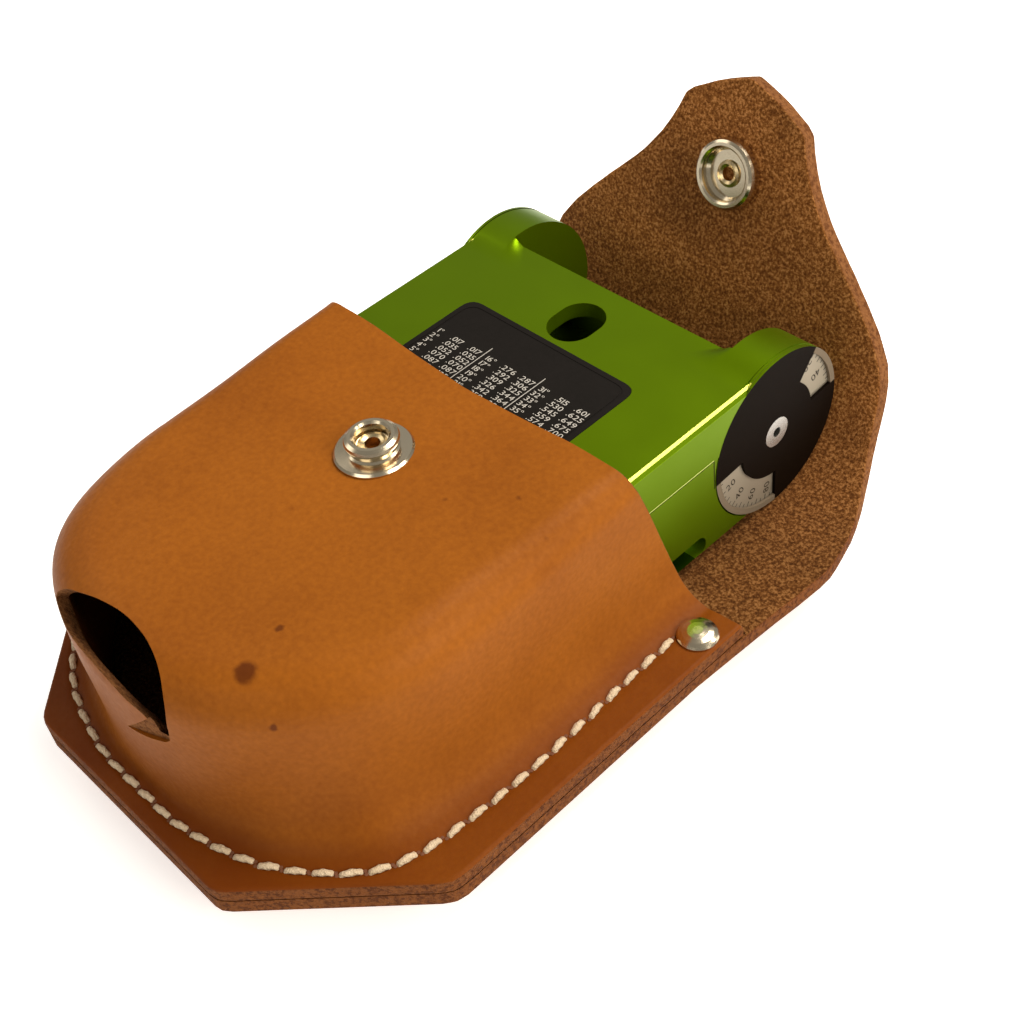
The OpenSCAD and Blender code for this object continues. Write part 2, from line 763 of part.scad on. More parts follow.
// Compass circle with crown teeth underneath for the adjusting pinion
module azimuth_ring() {
    tip = 0.32 * module_mm;
    root = 0.78 * module_mm;
    color([0.85, 0.84, 0.78])
    translate([0, bowl_y, z_seat + 0.05])
    union() {
        difference() {
            cylinder(h = 2.5, r = ring_seat_r - 0.3);
            cylinder(h = 9, r = ring_seat_r - 6, center = true);
            translate([0, 0, 2.1])
            difference() {
                cylinder(h = 1, r = ring_seat_r - 1.6);
                cylinder(h = 9, r = ring_seat_r - 4.6, center = true);
            }
        }
        for (k = [0:ring_teeth - 1])
            rotate([0, 0, (k + 0.5) * 360 / ring_teeth])
            translate([ring_seat_r - 5.8, 0, 0.2])
            rotate([90, 0, 90])
            linear_extrude(2.8)
            polygon([[-root, 0], [-root, -0.25], [-tip, -1.55], [tip, -1.55], [root, -0.25], [root, 0]]);
    }
}

// Pinion that sets the compass circle, with its screwdriver slot outside
module adjusting_pinion() {
    ra = pinion_r + 0.62;
    rr = pinion_r - 0.85;
    b = 360 / pinion_teeth;
    color([0.78, 0.6, 0.3])
    difference() {
        union() {
            rod_x(-hw + 1.9, 5.8 - ring_seat_r, bowl_y, pinion_z, 2);
            rod_x(-hw + 0.3, -hw + 1.9, bowl_y, pinion_z, 3.2);
            translate([-pitch_r, bowl_y, pinion_z])
            along_x(2.6)
            polygon([for (k = [0:pinion_teeth - 1]) each [
                for (q = [[rr, -0.3], [pinion_r, -0.155], [ra, -0.07], [ra, 0.07],
                    [pinion_r, 0.155], [rr, 0.3]])
                q[0] * [cos(90 + b * (k + q[1])), sin(90 + b * (k + q[1]))]]]);
        }
        translate([-hw, bowl_y, pinion_z]) cube([1.8, 0.9, 8], center = true);
    }
}

// Lozenge compass needle
module needle() {
    color([0.2, 0.25, 0.5])
    translate([0, bowl_y, z_seat + 1.25])
    linear_extrude(0.4)
    difference() {
        polygon([[0, needle_l], [1.9, 9], [3.4, 0], [1.9, -9], [0, -needle_l], [-1.9, -9], [-3.4, 0],
            [-1.9, 9]]);
        circle(r = 1.9);
    }
}

// Brass cap with the jewel cup that turns on the post
module needle_cap() {
    color([0.78, 0.6, 0.3])
    translate([0, bowl_y, z_seat])
    rotate_extrude()
    polygon([[0, 3.9], [0.7, 3.8], [1.5, 3], [1.8, 2.2], [2.6, 2], [2.6, 1.7], [1.85, 1.65], [1.85, 1.1],
        [1.3, 1.1], [0.35, 2.7], [0, 2.8]]);
}

// Coil of fine wire that balances the needle
module needle_weight() {
    color([0.72, 0.45, 0.3])
    translate([0, bowl_y - 9, z_seat + 0.95])
    difference() {
        translate([-2.3, -1.2, 0]) cube([4.6, 2.4, 1]);
        translate([0, 9, 0.3])
        linear_extrude(0.4)
        polygon([[1.9, 9], [3.4, 0], [1.9, -9], [0, -needle_l], [-1.9, -9], [-3.4, 0], [-1.9, 9]]);
    }
}

// Post with the steel point that carries the needle
module pivot_post() {
    color([0.8, 0.8, 0.78])
    translate([0, bowl_y, 0])
    rotate_extrude()
    polygon([[0, z_seat - 3.9], [1.5, z_seat - 3.9], [1.5, z_seat - 0.5], [0.9, z_seat + 0.4],
        [0.12, z_seat + 2.55], [0, z_seat + 2.6]]);
}

// Shaft that turns the clinometer from below
module clinometer_shaft() {
    color([0.8, 0.8, 0.78])
    translate([0, bowl_y, 0])
    rotate_extrude()
    polygon([[0, z_bot + 0.5], [1.3, z_bot + 0.5], [1.3, z_bot + 1.7], [2.6, z_bot + 1.7],
        [2.6, z_bot + 2.15], [1.8, z_bot + 2.15], [1.8, z_floor + 0.9], [4, z_floor + 0.9],
        [4, z_floor + 1.6], [1.8, z_floor + 1.6], [1.8, z_seat - 3.9], [0, z_seat - 3.9]]);
}

// Arm with the vernier tip
module vernier_arm() {
    color([0.75, 0.74, 0.7])
    translate([0, bowl_y, z_floor + 1.6])
    linear_extrude(0.8)
    difference() {
        union() {
            circle(r = 4);
            polygon([[-2.5, 0], [-2.2, -17], [-7, -18.5], [-6.5, -20.6], [0, -21.6], [6.5, -20.6],
                [7, -18.5], [2.2, -17], [2.5, 0]]);
        }
        circle(r = 1.82);
    }
}

// Cradle of the clinometer vial
module vial_holder() {
    color([0.78, 0.6, 0.3])
    translate([0, bowl_y - 12, z_floor + 2.4])
    difference() {
        translate([-9, -vial_r - 0.7, 0]) cube([18, 2 * vial_r + 1.4, vial_r + 0.9]);
        rod_x(-20, 20, 0, vial_r + 0.5, vial_r + 0.03);
    }
}

// Level vial of the clinometer
module clinometer_vial() {
    color([0.7, 0.85, 0.4, 0.6])
    rod_x(-8.4, 8.4, bowl_y - 12, z_floor + 2.9 + vial_r, vial_r);
}

// Thumb lever of the clinometer in the underside recess
module clinometer_lever() {
    color([0.75, 0.74, 0.7])
    translate([0, bowl_y, z_bot + 0.5])
    linear_extrude(1.2)
    difference() {
        union() {
            circle(r = 3.6);
            translate([-1.6, -9]) square([3.2, 9]);
            translate([0, -9]) circle(r = 1.6);
        }
        circle(r = 1.32);
    }
}

back_panel();
pouch_front();
mouth_rivets();
snap_stud();
stud_eyelet();
belt_loop();
loop_rivets();
flap_bend_lower();
flap_bend_upper();
flap_wall();
flap_tongue();
snap_socket();
snap_cap();
body_shell();
hinge_shaft();
hinge_washers();
dial_cover_right();
dial_cover_left();
clinometer_dial();
glass_gasket();
glass();
glass_ring();
round_level_holder();
round_level();
lift_lever();
lift_pin();
large_sight();
large_sight_pin();
lid_shell();
mirror_glass();
mirror_ring();
label_plate();
dial_scale_right();
dial_scale_left();
small_sight();
small_sight_pin();
azimuth_ring();
adjusting_pinion();
needle();
needle_cap();
needle_weight();
pivot_post();
clinometer_shaft();
vernier_arm();
vial_holder();
clinometer_vial();
clinometer_lever();
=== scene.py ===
import math

import bmesh
import bpy
import numpy as np
from mathutils import Euler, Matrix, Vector


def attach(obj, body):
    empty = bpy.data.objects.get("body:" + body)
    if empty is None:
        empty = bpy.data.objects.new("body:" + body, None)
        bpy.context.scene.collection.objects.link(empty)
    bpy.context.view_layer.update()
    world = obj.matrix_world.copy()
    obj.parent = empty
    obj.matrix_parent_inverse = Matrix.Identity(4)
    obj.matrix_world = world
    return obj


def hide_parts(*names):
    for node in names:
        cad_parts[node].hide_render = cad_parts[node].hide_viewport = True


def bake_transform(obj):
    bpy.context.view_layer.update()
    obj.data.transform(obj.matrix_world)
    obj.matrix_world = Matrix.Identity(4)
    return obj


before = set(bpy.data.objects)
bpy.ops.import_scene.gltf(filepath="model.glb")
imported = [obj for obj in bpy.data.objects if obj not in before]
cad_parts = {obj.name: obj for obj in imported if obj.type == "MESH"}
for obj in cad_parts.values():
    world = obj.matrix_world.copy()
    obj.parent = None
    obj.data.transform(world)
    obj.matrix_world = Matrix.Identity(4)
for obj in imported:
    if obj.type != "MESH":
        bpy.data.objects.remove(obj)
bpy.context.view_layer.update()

# Moulded pouch front: one piece of 3.2 mm tanned cowhide, wetted, pressed over a block of the closed
# housing's shape and stitched to the back panel through its flange. It keeps the hide's pores and marks.
# Painted shade darkens its walls toward the bottom and more at the closed end, and burnish darkens the
# rubbed flange most.
MM = 0.001
LEATHER = 3.2
END_Y = -23.5
TAIL_Y = -69.3
PANEL_Z = 10.4
FLANGE_Z = 13.6
ROOF_Z = 47.2


def node(tree, kind, links=None, **settings):
    """A node with its properties set and its inputs linked or given constants."""
    n = tree.nodes.new(kind)
    for name, value in settings.items():
        setattr(n, name, value)
    for name, value in (links or {}).items():
        if isinstance(value, bpy.types.NodeSocket):
            tree.links.new(value, n.inputs[name])
        else:
            n.inputs[name].default_value = value
    return n


def object_place(tree):
    """The place on the object, which every pattern reads."""
    return node(tree, "ShaderNodeTexCoord").outputs["Object"]


def noise(tree, place, scale, detail, **more):
    """Cloudy values from 0 to 1."""
    links = {"Vector": place, "Scale": scale, "Detail": detail, **more}
    return node(tree, "ShaderNodeTexNoise", links).outputs[0]


def maths(tree, operation, *values, clamp=False):
    """One step of arithmetic."""
    links = dict(enumerate(values))
    return node(tree, "ShaderNodeMath", links, operation=operation, use_clamp=clamp).outputs[0]


def between(tree, share, start, end, blend_type="MIX"):
    """Colour that goes from start to end as the share goes from 0 to 1."""
    links = {0: share, 6: start, 7: end}
    return node(tree, "ShaderNodeMix", links, data_type="RGBA", blend_type=blend_type).outputs[2]


def scaled(tree, value, low, high, to_low, to_high, **settings):
    """Value whose range low to high becomes to_low to to_high."""
    links = {0: value, 1: low, 2: high, 3: to_low, 4: to_high}
    return node(tree, "ShaderNodeMapRange", links, **settings).outputs[0]


def new_group(name, inputs, outputs):
    """An empty shader group with the given sockets: {name: default} in, {name: type} out."""
    g = bpy.data.node_groups.new(name, "ShaderNodeTree")
    for label, default in inputs.items():
        kind = "NodeSocketFloat"
        if isinstance(default, tuple):
            kind = "NodeSocketColor" if len(default) == 4 else "NodeSocketVector"
        socket = g.interface.new_socket(label, in_out="INPUT", socket_type=kind)
        socket.default_value = default
    for label, kind in outputs.items():
        g.interface.new_socket(label, in_out="OUTPUT", socket_type=kind)
    return g, g.nodes.new("NodeGroupInput").outputs, g.nodes.new("NodeGroupOutput").inputs


def use(tree, group, **values):
    """A use of a node group with its sockets set."""
    n = node(tree, "ShaderNodeGroup", node_tree=group)
    for name, value in values.items():
        n.inputs[name].default_value = value
    return n.outputs


def surface(name, **constants):
    """A material with its principled shader; returns (material, tree, shader)."""
    m = bpy.data.materials.new(name)
    m.use_nodes = True
    shader = m.node_tree.nodes["Principled BSDF"]
    for label, value in constants.items():
        shader.inputs[label.replace("_", " ")].default_value = value
    return m, m.node_tree, shader


def feed(tree, shader, **values):
    """Links values that change over the surface to the shader."""
    for label, value in values.items():
        tree.links.new(value, shader.inputs[label.replace("_", " ")])


# Grain: fine pores and creases as a bump.
grain, given, result = new_group("grain", {"Scale": 900.0, "Strength": 0.2}, {"Normal": "NodeSocketVector"})
place = object_place(grain)
pores = node(grain, "ShaderNodeTexVoronoi", {"Vector": place, "Scale": given["Scale"]}).outputs["Distance"]
height = maths(grain, "ADD", pores, noise(grain, place, given["Scale"], 6.0, Roughness=0.65))
links = {"Strength": given["Strength"], "Distance": 0.0002, "Height": height}
grain.links.new(node(grain, "ShaderNodeBump", links).outputs[0], result["Normal"])

# Mottle: two colours mixed by cloudy noise at two scales.
mottle, given, result = new_group(
    "mottle",
    {"Light": (1, 1, 1, 1), "Dark": (0, 0, 0, 1), "Scale": 40.0, "Contrast": 1.0},
    {"Color": "NodeSocketColor", "Mask": "NodeSocketFloat"},
)
place = object_place(mottle)
clouds = noise(mottle, place, given["Scale"], 5.0, Roughness=0.6)
both = maths(mottle, "ADD", clouds, noise(mottle, place, 1000.0, 3.0))
centred = maths(mottle, "SUBTRACT", both, 1.0)
share = maths(mottle, "MULTIPLY_ADD", centred, given["Contrast"], 0.5, clamp=True)
mottle.links.new(between(mottle, share, given["Light"], given["Dark"]), result["Color"])
mottle.links.new(share, result["Mask"])

# Spot: a soft-edged mark of the given radius round a point, with a wavering outline.
spot, given, result = new_group(
    "spot", {"Centre": (0.0, 0.0, 0.0), "Radius": 0.001}, {"Mask": "NodeSocketFloat"}
)
place = object_place(spot)
links = {0: place, 1: given["Centre"]}
away = node(spot, "ShaderNodeVectorMath", links, operation="DISTANCE").outputs["Value"]
wavering = maths(spot, "MULTIPLY_ADD", noise(spot, place, 900.0, 2.0), 0.0009, away)
share = maths(spot, "DIVIDE", wavering, given["Radius"])
spot.links.new(scaled(spot, share, 0.75, 1.35, 1.0, 0.0, interpolation_type="SMOOTHSTEP"), result["Mask"])


def tan_leather(light, dark, shade_and_burnish_color, rough):
    """Grain side of the hide. A mesh attribute, painted shade on the walls and burnish on the flange, turns
    it toward the darkest colour, and round marks in the hide are given as (place in metres, radius, depth)."""
    m, t, shader = surface("tan_leather", Specular_IOR_Level=0.3, IOR=1.2)
    ground = use(t, mottle, Light=(*light, 1), Dark=(*dark, 1), Scale=28.0, Contrast=1.25)
    # The mesh's attribute read here holds painted shade on the walls and burnish on the flange.
    shade_and_burnish = node(t, "ShaderNodeAttribute", attribute_name="shade_and_burnish").outputs["Fac"]
    uneven = maths(t, "MULTIPLY_ADD", noise(t, object_place(t), 60.0, 4.0), 0.5, shade_and_burnish)
    color = between(t, maths(t, "SUBTRACT", uneven, 0.25, clamp=True), ground["Color"], (*shade_and_burnish_color, 1))
    for at, radius, depth in (
        ((0.0216, -0.0499, 0.0469), 0.0021, 0.8),
        ((0.0192, -0.0412, 0.0472), 0.0011, 0.7),
        ((0.0284, -0.0515, 0.0406), 0.0010, 0.75),
        ((0.0280, 0.0019, 0.0472), 0.0011, 0.75),
        ((0.0367, -0.0012, 0.0461), 0.0011, 0.5),
        ((0.0184, -0.0059, 0.0472), 0.0009, 0.5),
    ):
        mark = maths(t, "MULTIPLY", use(t, spot, Centre=at, Radius=radius)["Mask"], depth)
        color = between(t, mark, color, (0.06, 0.011, 0.002, 1))
    worn = scaled(t, ground["Mask"], 0.0, 1.0, rough * 0.9, rough * 1.15)
    fine = use(t, grain, Scale=1100.0, Strength=0.12)["Normal"]
    feed(t, shader, Base_Color=color, Roughness=worn, Normal=fine)
    return m


m_leather = tan_leather((0.275, 0.083, 0.007), (0.195, 0.053, 0.004), (0.115, 0.023, 0.001), 0.46)


def cut_leather(name, light, dark, rough):
    """Short fibres seen end on: dark specks in a paler ground."""
    m, t, shader = surface(name, Roughness=rough, IOR=1.2, Specular_IOR_Level=0.3)
    middle = [(a + b) / 2 for a, b in zip(light, dark)]
    ground = use(t, mottle, Light=(*light, 1), Dark=(*middle, 1), Scale=60.0)["Color"]
    specks = scaled(t, noise(t, object_place(t), 1150.0, 4.0, Roughness=0.7), 0.40, 0.54, 0.85, 0.0)
    fibres = use(t, grain, Scale=2500.0, Strength=0.7)["Normal"]
    feed(t, shader, Base_Color=between(t, specks, ground, (*dark, 1)), Normal=fibres)
    return m


m_edge = cut_leather("burnished_edge", (0.185, 0.062, 0.016), (0.060, 0.017, 0.005), 0.8)
m_flesh = cut_leather("cut_flesh", (0.23, 0.095, 0.033), (0.085, 0.028, 0.009), 0.9)


def mesh_object(name, verts, faces, material, weld=True, smooth=True, shade_and_burnish=None):
    """An object at the origin from vertices in millimetres; weld also turns the faces outwards."""
    mesh = bpy.data.meshes.new(name)
    mesh.from_pydata((np.asarray(verts) * MM).tolist(), [], faces)
    if shade_and_burnish is not None:
        values = mesh.attributes.new("shade_and_burnish", "FLOAT", "POINT")
        values.data.foreach_set("value", np.asarray(shade_and_burnish, np.float32))
    if weld:
        b = bmesh.new()
        b.from_mesh(mesh)
        bmesh.ops.remove_doubles(b, verts=b.verts, dist=2e-6)
        bmesh.ops.dissolve_degenerate(b, dist=1e-7, edges=b.edges)
        bmesh.ops.recalc_face_normals(b, faces=b.faces)
        b.to_mesh(mesh)
        b.free()
    mesh.materials.append(material)
    o = bpy.data.objects.new(name, mesh)
    bpy.context.scene.collection.objects.link(o)
    mesh.polygons.foreach_set("use_smooth", [smooth] * len(mesh.polygons))
    return o


def grid_faces(n, m, wrap=False, base=0):
    """Quads of an n by m grid of vertices, stored row by row; wrap joins the last column to the first."""
    i, j = np.meshgrid(np.arange(n - 1), np.arange(m if wrap else m - 1), indexing="ij")
    k = (j + 1) % m
    quads = base + np.stack([i * m + j, i * m + k, (i + 1) * m + k, (i + 1) * m + j], -1)
    return [tuple(q) for q in quads.reshape(-1, 4).tolist()]


def spline(points, count):
    """Even samples along a Catmull-Rom curve through the points: each span is the cubic that leaves and
    meets its ends along the line between their neighbours."""
    p = np.array(points, float)
    p = np.vstack([2 * p[0] - p[1], p, 2 * p[-1] - p[-2]])
    spans = []
    t = np.linspace(0, 1, 20, endpoint=False)[:, None]
    for a, b, c, d in zip(p, p[1:], p[2:], p[3:]):
        bend = (2 * a - 5 * b + 4 * c - d) * t**2 + (3 * b - a - 3 * c + d) * t**3
        spans.append(0.5 * (2 * b + (c - a) * t + bend))
    line = np.vstack(spans + [p[-2][None]])
    s = np.r_[0, np.cumsum(np.linalg.norm(np.diff(line, axis=0), axis=1))]
    even = np.linspace(0, s[-1], count)
    return np.stack([np.interp(even, s, line[:, k]) for k in range(line.shape[1])], 1)


# Outlines of the right half, from the closed end to the mouth: the panel's edge and the line of stitches.
panel_edge = [
    (0, TAIL_Y), (24.2, TAIL_Y), (25.6, TAIL_Y + 0.25), (27, TAIL_Y + 1.2), (51.7, -43.9), (52.8, -42.3),
    (53.2, -40.6), (53.3, -38), (53.4, 0), (53.6, 20), (54.1, 30),
]
stitch_edge = spline([
    (0, -65.9), (5, -65.9), (10.6, -65.7), (19.9, -63.8), (28.3, -60.7), (35.9, -55.7), (42.4, -49.2),
    (45.6, -41), (46.8, -31), (47.3, -20), (47, -5), (46.6, 5), (46.5, 16), (46.6, 28),
], 160)


def reach(curve, base_y, direction):
    """Distance from (0, base_y) along the direction to the curve, which is mirrored for the left side."""
    c = np.array(curve, float)
    dx, dy = abs(direction[0]), direction[1]
    e = np.diff(c, axis=0)
    w = c[:-1] - [0, base_y]
    across = dx * e[:, 1] - dy * e[:, 0]
    across[np.abs(across) < 1e-12] = np.nan
    t = (w[:, 0] * e[:, 1] - w[:, 1] * e[:, 0]) / across
    u = (w[:, 0] * dy - w[:, 1] * dx) / across
    return t[(u >= -1e-6) & (u <= 1 + 1e-6) & (t > 0)].min()


def pouch_profile(rf, rs, s, dx, dy, n_prof):
    """Section of the skin as (distance outward, height), from the flange's edge at rf over the stitch
    groove at rs to the middle, in the direction (dx, dy) and at the share s of the way to the mouth. The
    wall's foot flares by flare * exp(-k (z - 13.6)), its top edge is an arc of radius e, and the roof is
    47.2 + brow, where brow is a half cosine that rises from x = 12 to 31."""
    side = dy == 0
    back = -dy
    wall = 40.1
    flare = max(0.4, rs - (2.2 - 0.5 * back) - wall)
    k = 0.30 + 0.25 * max(0, (4.4 - flare)) / 4 - 0.16 * min(1, max(0, (flare - 4.4) / 4))
    e = 5.0 + 3.2 * (1 - s) ** 0.8 if side else 8.2 + 0.8 * back
    brow_rise = 1.35 * (0.08 + 0.92 * (s if side else 0.0))

    def brow(x):
        """Rise of the roof at x."""
        return brow_rise * (1 - np.cos(np.pi * np.clip((np.abs(x) - 12) / 19, 0, 1))) / 2

    top = ROOF_Z + (brow((wall - e) * abs(dx)) if side else 0.1)
    gap = rf - rs - 2.0
    z = np.r_[np.linspace(0.12, 8, 16), np.linspace(9.5, top - e - FLANGE_Z, 12)]
    a = np.linspace(0, math.pi / 2, 14)[1:]
    r = np.linspace(wall - e, 0, 26)[1:]
    p = np.vstack([
        [(rf - 0.1, PANEL_Z), (rf - 0.03, PANEL_Z + 0.05), (rf, PANEL_Z + 0.2)],
        [(rf, FLANGE_Z - 0.5), (rf - 0.15, FLANGE_Z - 0.15), (rf - 0.5, FLANGE_Z)],
        [(rf - 1.1 - gap * q, FLANGE_Z) for q in (0.33, 0.66, 1.0)],
        [(rs + 0.35, FLANGE_Z - 0.3), (rs - 0.35, FLANGE_Z - 0.3), (rs - 0.9, FLANGE_Z + 0.05)],
        np.stack([wall + flare * np.exp(-k * z), FLANGE_Z + z], 1),
        np.stack([wall - e + e * np.cos(a), top - e + e * np.sin(a)], 1),
        np.stack([r, ROOF_Z + (brow(r) if side else 0.1 * np.minimum(1, r / 20))], 1),
    ])
    # Even steps within each stretch: flange edge, flange with groove, wall, top edge and roof.
    length = np.r_[0, np.cumsum(np.linalg.norm(np.diff(p, axis=0), axis=1))]
    ends = length[[0, 5, 11, 40, 53, -1]]
    counts = (10, 22, 48, 34, n_prof - 114)
    t = np.concatenate([np.linspace(a, b, c, endpoint=False) for a, b, c in zip(ends, ends[1:], counts)])
    t = np.r_[t, length[-1]]
    q = np.stack([np.interp(t, length, p[:, 0]), np.interp(t, length, p[:, 1])], 1)
    for _ in range(6):
        q[12:-1] = 0.25 * q[11:-2] + 0.5 * q[12:-1] + 0.25 * q[13:]
    return q


def pouch_grid(n_side=64, n_end=130, n_prof=150):
    """Outer skin as stations by profile points: the profile is carried from the left of the mouth along
    the left side, round the closed end as a half turn, and back along the right side. Side stations slide
    in y, so that the mouth leans back by the line y(z)."""
    stations = [(s, -1.0, 0.0) for s in np.linspace(1, 0, n_side, endpoint=False)]
    stations += [(0.0, math.cos(a), math.sin(a)) for a in np.linspace(math.pi, 2 * math.pi, n_end)]
    stations += [(s, 1.0, 0.0) for s in np.linspace(0, 1, n_side + 1)[1:]]
    mouth_z = [10.4, 13.6, 20.6, 25.6, 33.6, 38.6, 43, 46, 49]
    mouth_y = [26.6, 26.0, 24.4, 23.0, 20.6, 19.1, 17.6, 16.7, 16.2]
    rows = []
    for s, dx, dy in stations:
        base_y = END_Y + s * 40
        rf = reach(panel_edge, base_y, (dx, dy))
        rs = reach(stitch_edge, base_y, (dx, dy))
        r, z = pouch_profile(rf, rs, s, dx, dy, n_prof).T
        # The left corner of the closed end bulges by up to 2.9 mm, most at its upper edge.
        turn = math.degrees(math.atan2(-dy, -dx)) if dy != 0 else -23.5 * s
        push = 2.9 * math.exp(-(((turn - 42) / 22) ** 2)) * (dx <= 0)
        r = r + push * np.clip((z - 18) / 14, 0, 1) * (r / 40) ** 4
        if dy == 0:
            x = dx * r
            y_end = np.interp(z, mouth_z, mouth_y) - 0.9 * np.clip(1 - np.abs(x) / 26, 0, 1) ** 1.2
            y_end += 0.6 * np.clip((np.abs(x) - 47) / 7, 0, 1)
            rows.append(np.stack([x, END_Y + s * (y_end - END_Y), z], 1))
        else:
            rows.append(np.stack([dx * r, END_Y + dy * r, z], 1))
    return np.array(rows)


outer = pouch_grid()
n_st, n_pr = outer.shape[:2]

# Slight unevenness from moulding by hand, above 40 mm alone.
xx, yy, zz = outer[..., 0], outer[..., 1], outer[..., 2]
wave = 0.35 * np.sin(0.11 * xx + 0.4) * np.cos(0.09 * yy) + 0.18 * np.sin(0.23 * yy + 0.17 * xx + 1)
outer[..., 2] += np.clip((zz - 40) / 6, 0, 1) * wave * 0.6

# The inner face lies one thickness in. The leather is 1.1 mm thinner where it is stretched over the end.
nrm = np.cross(np.gradient(outer, axis=0), np.gradient(outer, axis=1))
nrm /= np.linalg.norm(nrm, axis=2, keepdims=True) + 1e-12
if nrm[n_st // 2, n_pr - 20, 2] < 0:
    nrm = -nrm
end_share = np.clip((END_Y + 8 - outer[..., 1]) / 20, 0, 1) * np.clip((outer[..., 2] - 16) / 12, 0, 1)
inner = outer - nrm * (LEATHER - 1.1 * end_share)[..., None]
inner[..., 2] = np.maximum(inner[..., 2], PANEL_Z)

# It keeps clear of the housing, pushed home and with the lid's play. The limits are the distance from the
# middle line, the height, and the sum of both at the rounded edge. A point within all three moves out by
# the shortest way.
CLEAR_SIDE = 36.85
CLEAR_TOP = 44.25
CLEAR_EDGE = 79.85
mid_y = np.minimum(0, inner[..., 1] - (END_Y - 0.2))
r_in, z_in = np.hypot(inner[..., 0], mid_y), inner[..., 2]
ways = np.stack([CLEAR_SIDE - r_in, CLEAR_TOP - z_in, (CLEAR_EDGE - r_in - z_in) / math.sqrt(2)])
move = np.where((ways.min(0) > 0) & (z_in > 11), ways.min(0), 0)
which = ways.argmin(0)
grow = 1 + move * np.select([which == 0, which == 2], [1.0, math.sqrt(0.5)], 0.0) / np.maximum(r_in, 1)
inner[..., 0] *= grow
inner[..., 1] += mid_y * (grow - 1)
inner[..., 2] += move * np.select([which == 1, which == 2], [1.0, math.sqrt(0.5)], 0.0)
on_flange = 30
inner[:, :on_flange, :2] = outer[:, :on_flange, :2]
inner[:, :on_flange, 2] = PANEL_Z
inner[:, -1, 0] = 0
inner[:, -1, 1:] = 0.5 * (inner[:, -1, 1:] + inner[::-1, -1, 1:])

# The two faces are closed at the mouth by a rim of three rows that bulges by 0.42 mm.
rim = [
    outer[i] * (1 - share) + inner[i] * share + np.array([0, bulge, 0])
    for i in (0, n_st - 1)
    for share, bulge in ((0.12, 0.28), (0.5, 0.42), (0.88, 0.28))
]
skin = n_st * n_pr
verts = np.vstack([outer.reshape(-1, 3), inner.reshape(-1, 3), np.vstack(rim)])
faces = grid_faces(n_st, n_pr) + [f[::-1] for f in grid_faces(n_st, n_pr, base=skin)]
for i, first in ((0, 2 * skin), (n_st - 1, 2 * skin + 3 * n_pr)):
    chain = [i * n_pr, first, first + n_pr, first + 2 * n_pr, skin + i * n_pr]
    for a, b in zip(chain, chain[1:]):
        faces += [(a + j, a + j + 1, b + j + 1, b + j) for j in range(n_pr - 1)]
# Painted shade: the outer face darkens toward the bottom of the walls and more at the closed end; below 16.5
# mm the flange darkens further as burnish. The inner face and the rim take a constant 0.5.
zz = outer[..., 2]
front_end = np.clip((-outer[..., 1] - 40) / 20, 0, 1)
shade_and_burnish_outer = np.clip((41 - zz) / 34, 0, 1) * (0.2 + 0.3 * front_end) + np.clip((16.5 - zz) / 3, 0, 1) * 0.5
shade_and_burnish = np.concatenate([shade_and_burnish_outer.ravel(), np.full(skin + 6 * n_pr, 0.5)])
pouch = mesh_object("moulded_pouch", verts, faces, m_leather, shade_and_burnish=shade_and_burnish)
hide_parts("pouch_front")
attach(pouch, "case")

# Thumb slot: a lens cut with a knife through the closed end's top edge, where a thumb pushes the transit
# out. Its right end has torn into a shallow three-cornered step that shows the cut leather.
SLOT_Y = END_Y - 36.5
SLOT_Z = 43.1
SLOT_TILT = math.radians(32.5)
upper = spline([
    (-20.4, -0.8), (-20.4, 0.3), (-17.3, 2.4), (-14.1, 3.5), (-10.1, 4.7), (-5.6, 5.6), (-1.9, 5.95),
    (1.6, 5.8), (5, 5.3), (8.5, 4.1), (11, 2.45), (12.7, 0.25), (13.5, -2.1), (13.0, -4.6), (12.4, -6),
], 64)
lower = spline([
    (9.4, -5.3), (8.2, -4.9), (5.2, -4.7), (1.9, -4.1), (-1.5, -3.7), (-6.2, -3.45), (-9.4, -3.35),
    (-14, -3.1), (-17.8, -2.2),
], 32)
lens = np.vstack([upper, [(9.9, -6.4)], lower])
tear = np.array([
    (13.1, 36.8), (12.4, 33.4), (11.2, 32.4), (6.9, 31.0), (1.6, 29.8), (5.9, 33.9), (9.6, 37.6),
])


def lens_block(h):
    """The lens at the distance h along the normal of the slot's tilted plane."""
    u, v = lens.T
    y = v * math.cos(SLOT_TILT) - h * math.sin(SLOT_TILT)
    z = v * math.sin(SLOT_TILT) + h * math.cos(SLOT_TILT)
    return np.stack([u, SLOT_Y + y, SLOT_Z + z], 1)


def tear_floor(x):
    """Floor of the tear, as y: it lies 0.22 mm deeper for each millimetre to the right."""
    return -63.45 + (x - 1.6) * 0.22


def prism_faces(k):
    """Sides and ends of a block between two outlines of k points each."""
    sides = [(j, (j + 1) % k, k + (j + 1) % k, k + j) for j in range(k)]
    return sides + [tuple(range(k))[::-1], tuple(range(k, 2 * k))]


def face_places(mesh):
    """Centres in millimetres and normals of a mesh's faces, as rows of x, y and z."""
    found = []
    for what in ("center", "normal"):
        values = np.empty(3 * len(mesh.polygons), np.float32)
        mesh.polygons.foreach_get(what, values)
        found.append(values.reshape(-1, 3).astype(float))
    return found[0] / MM, found[1]


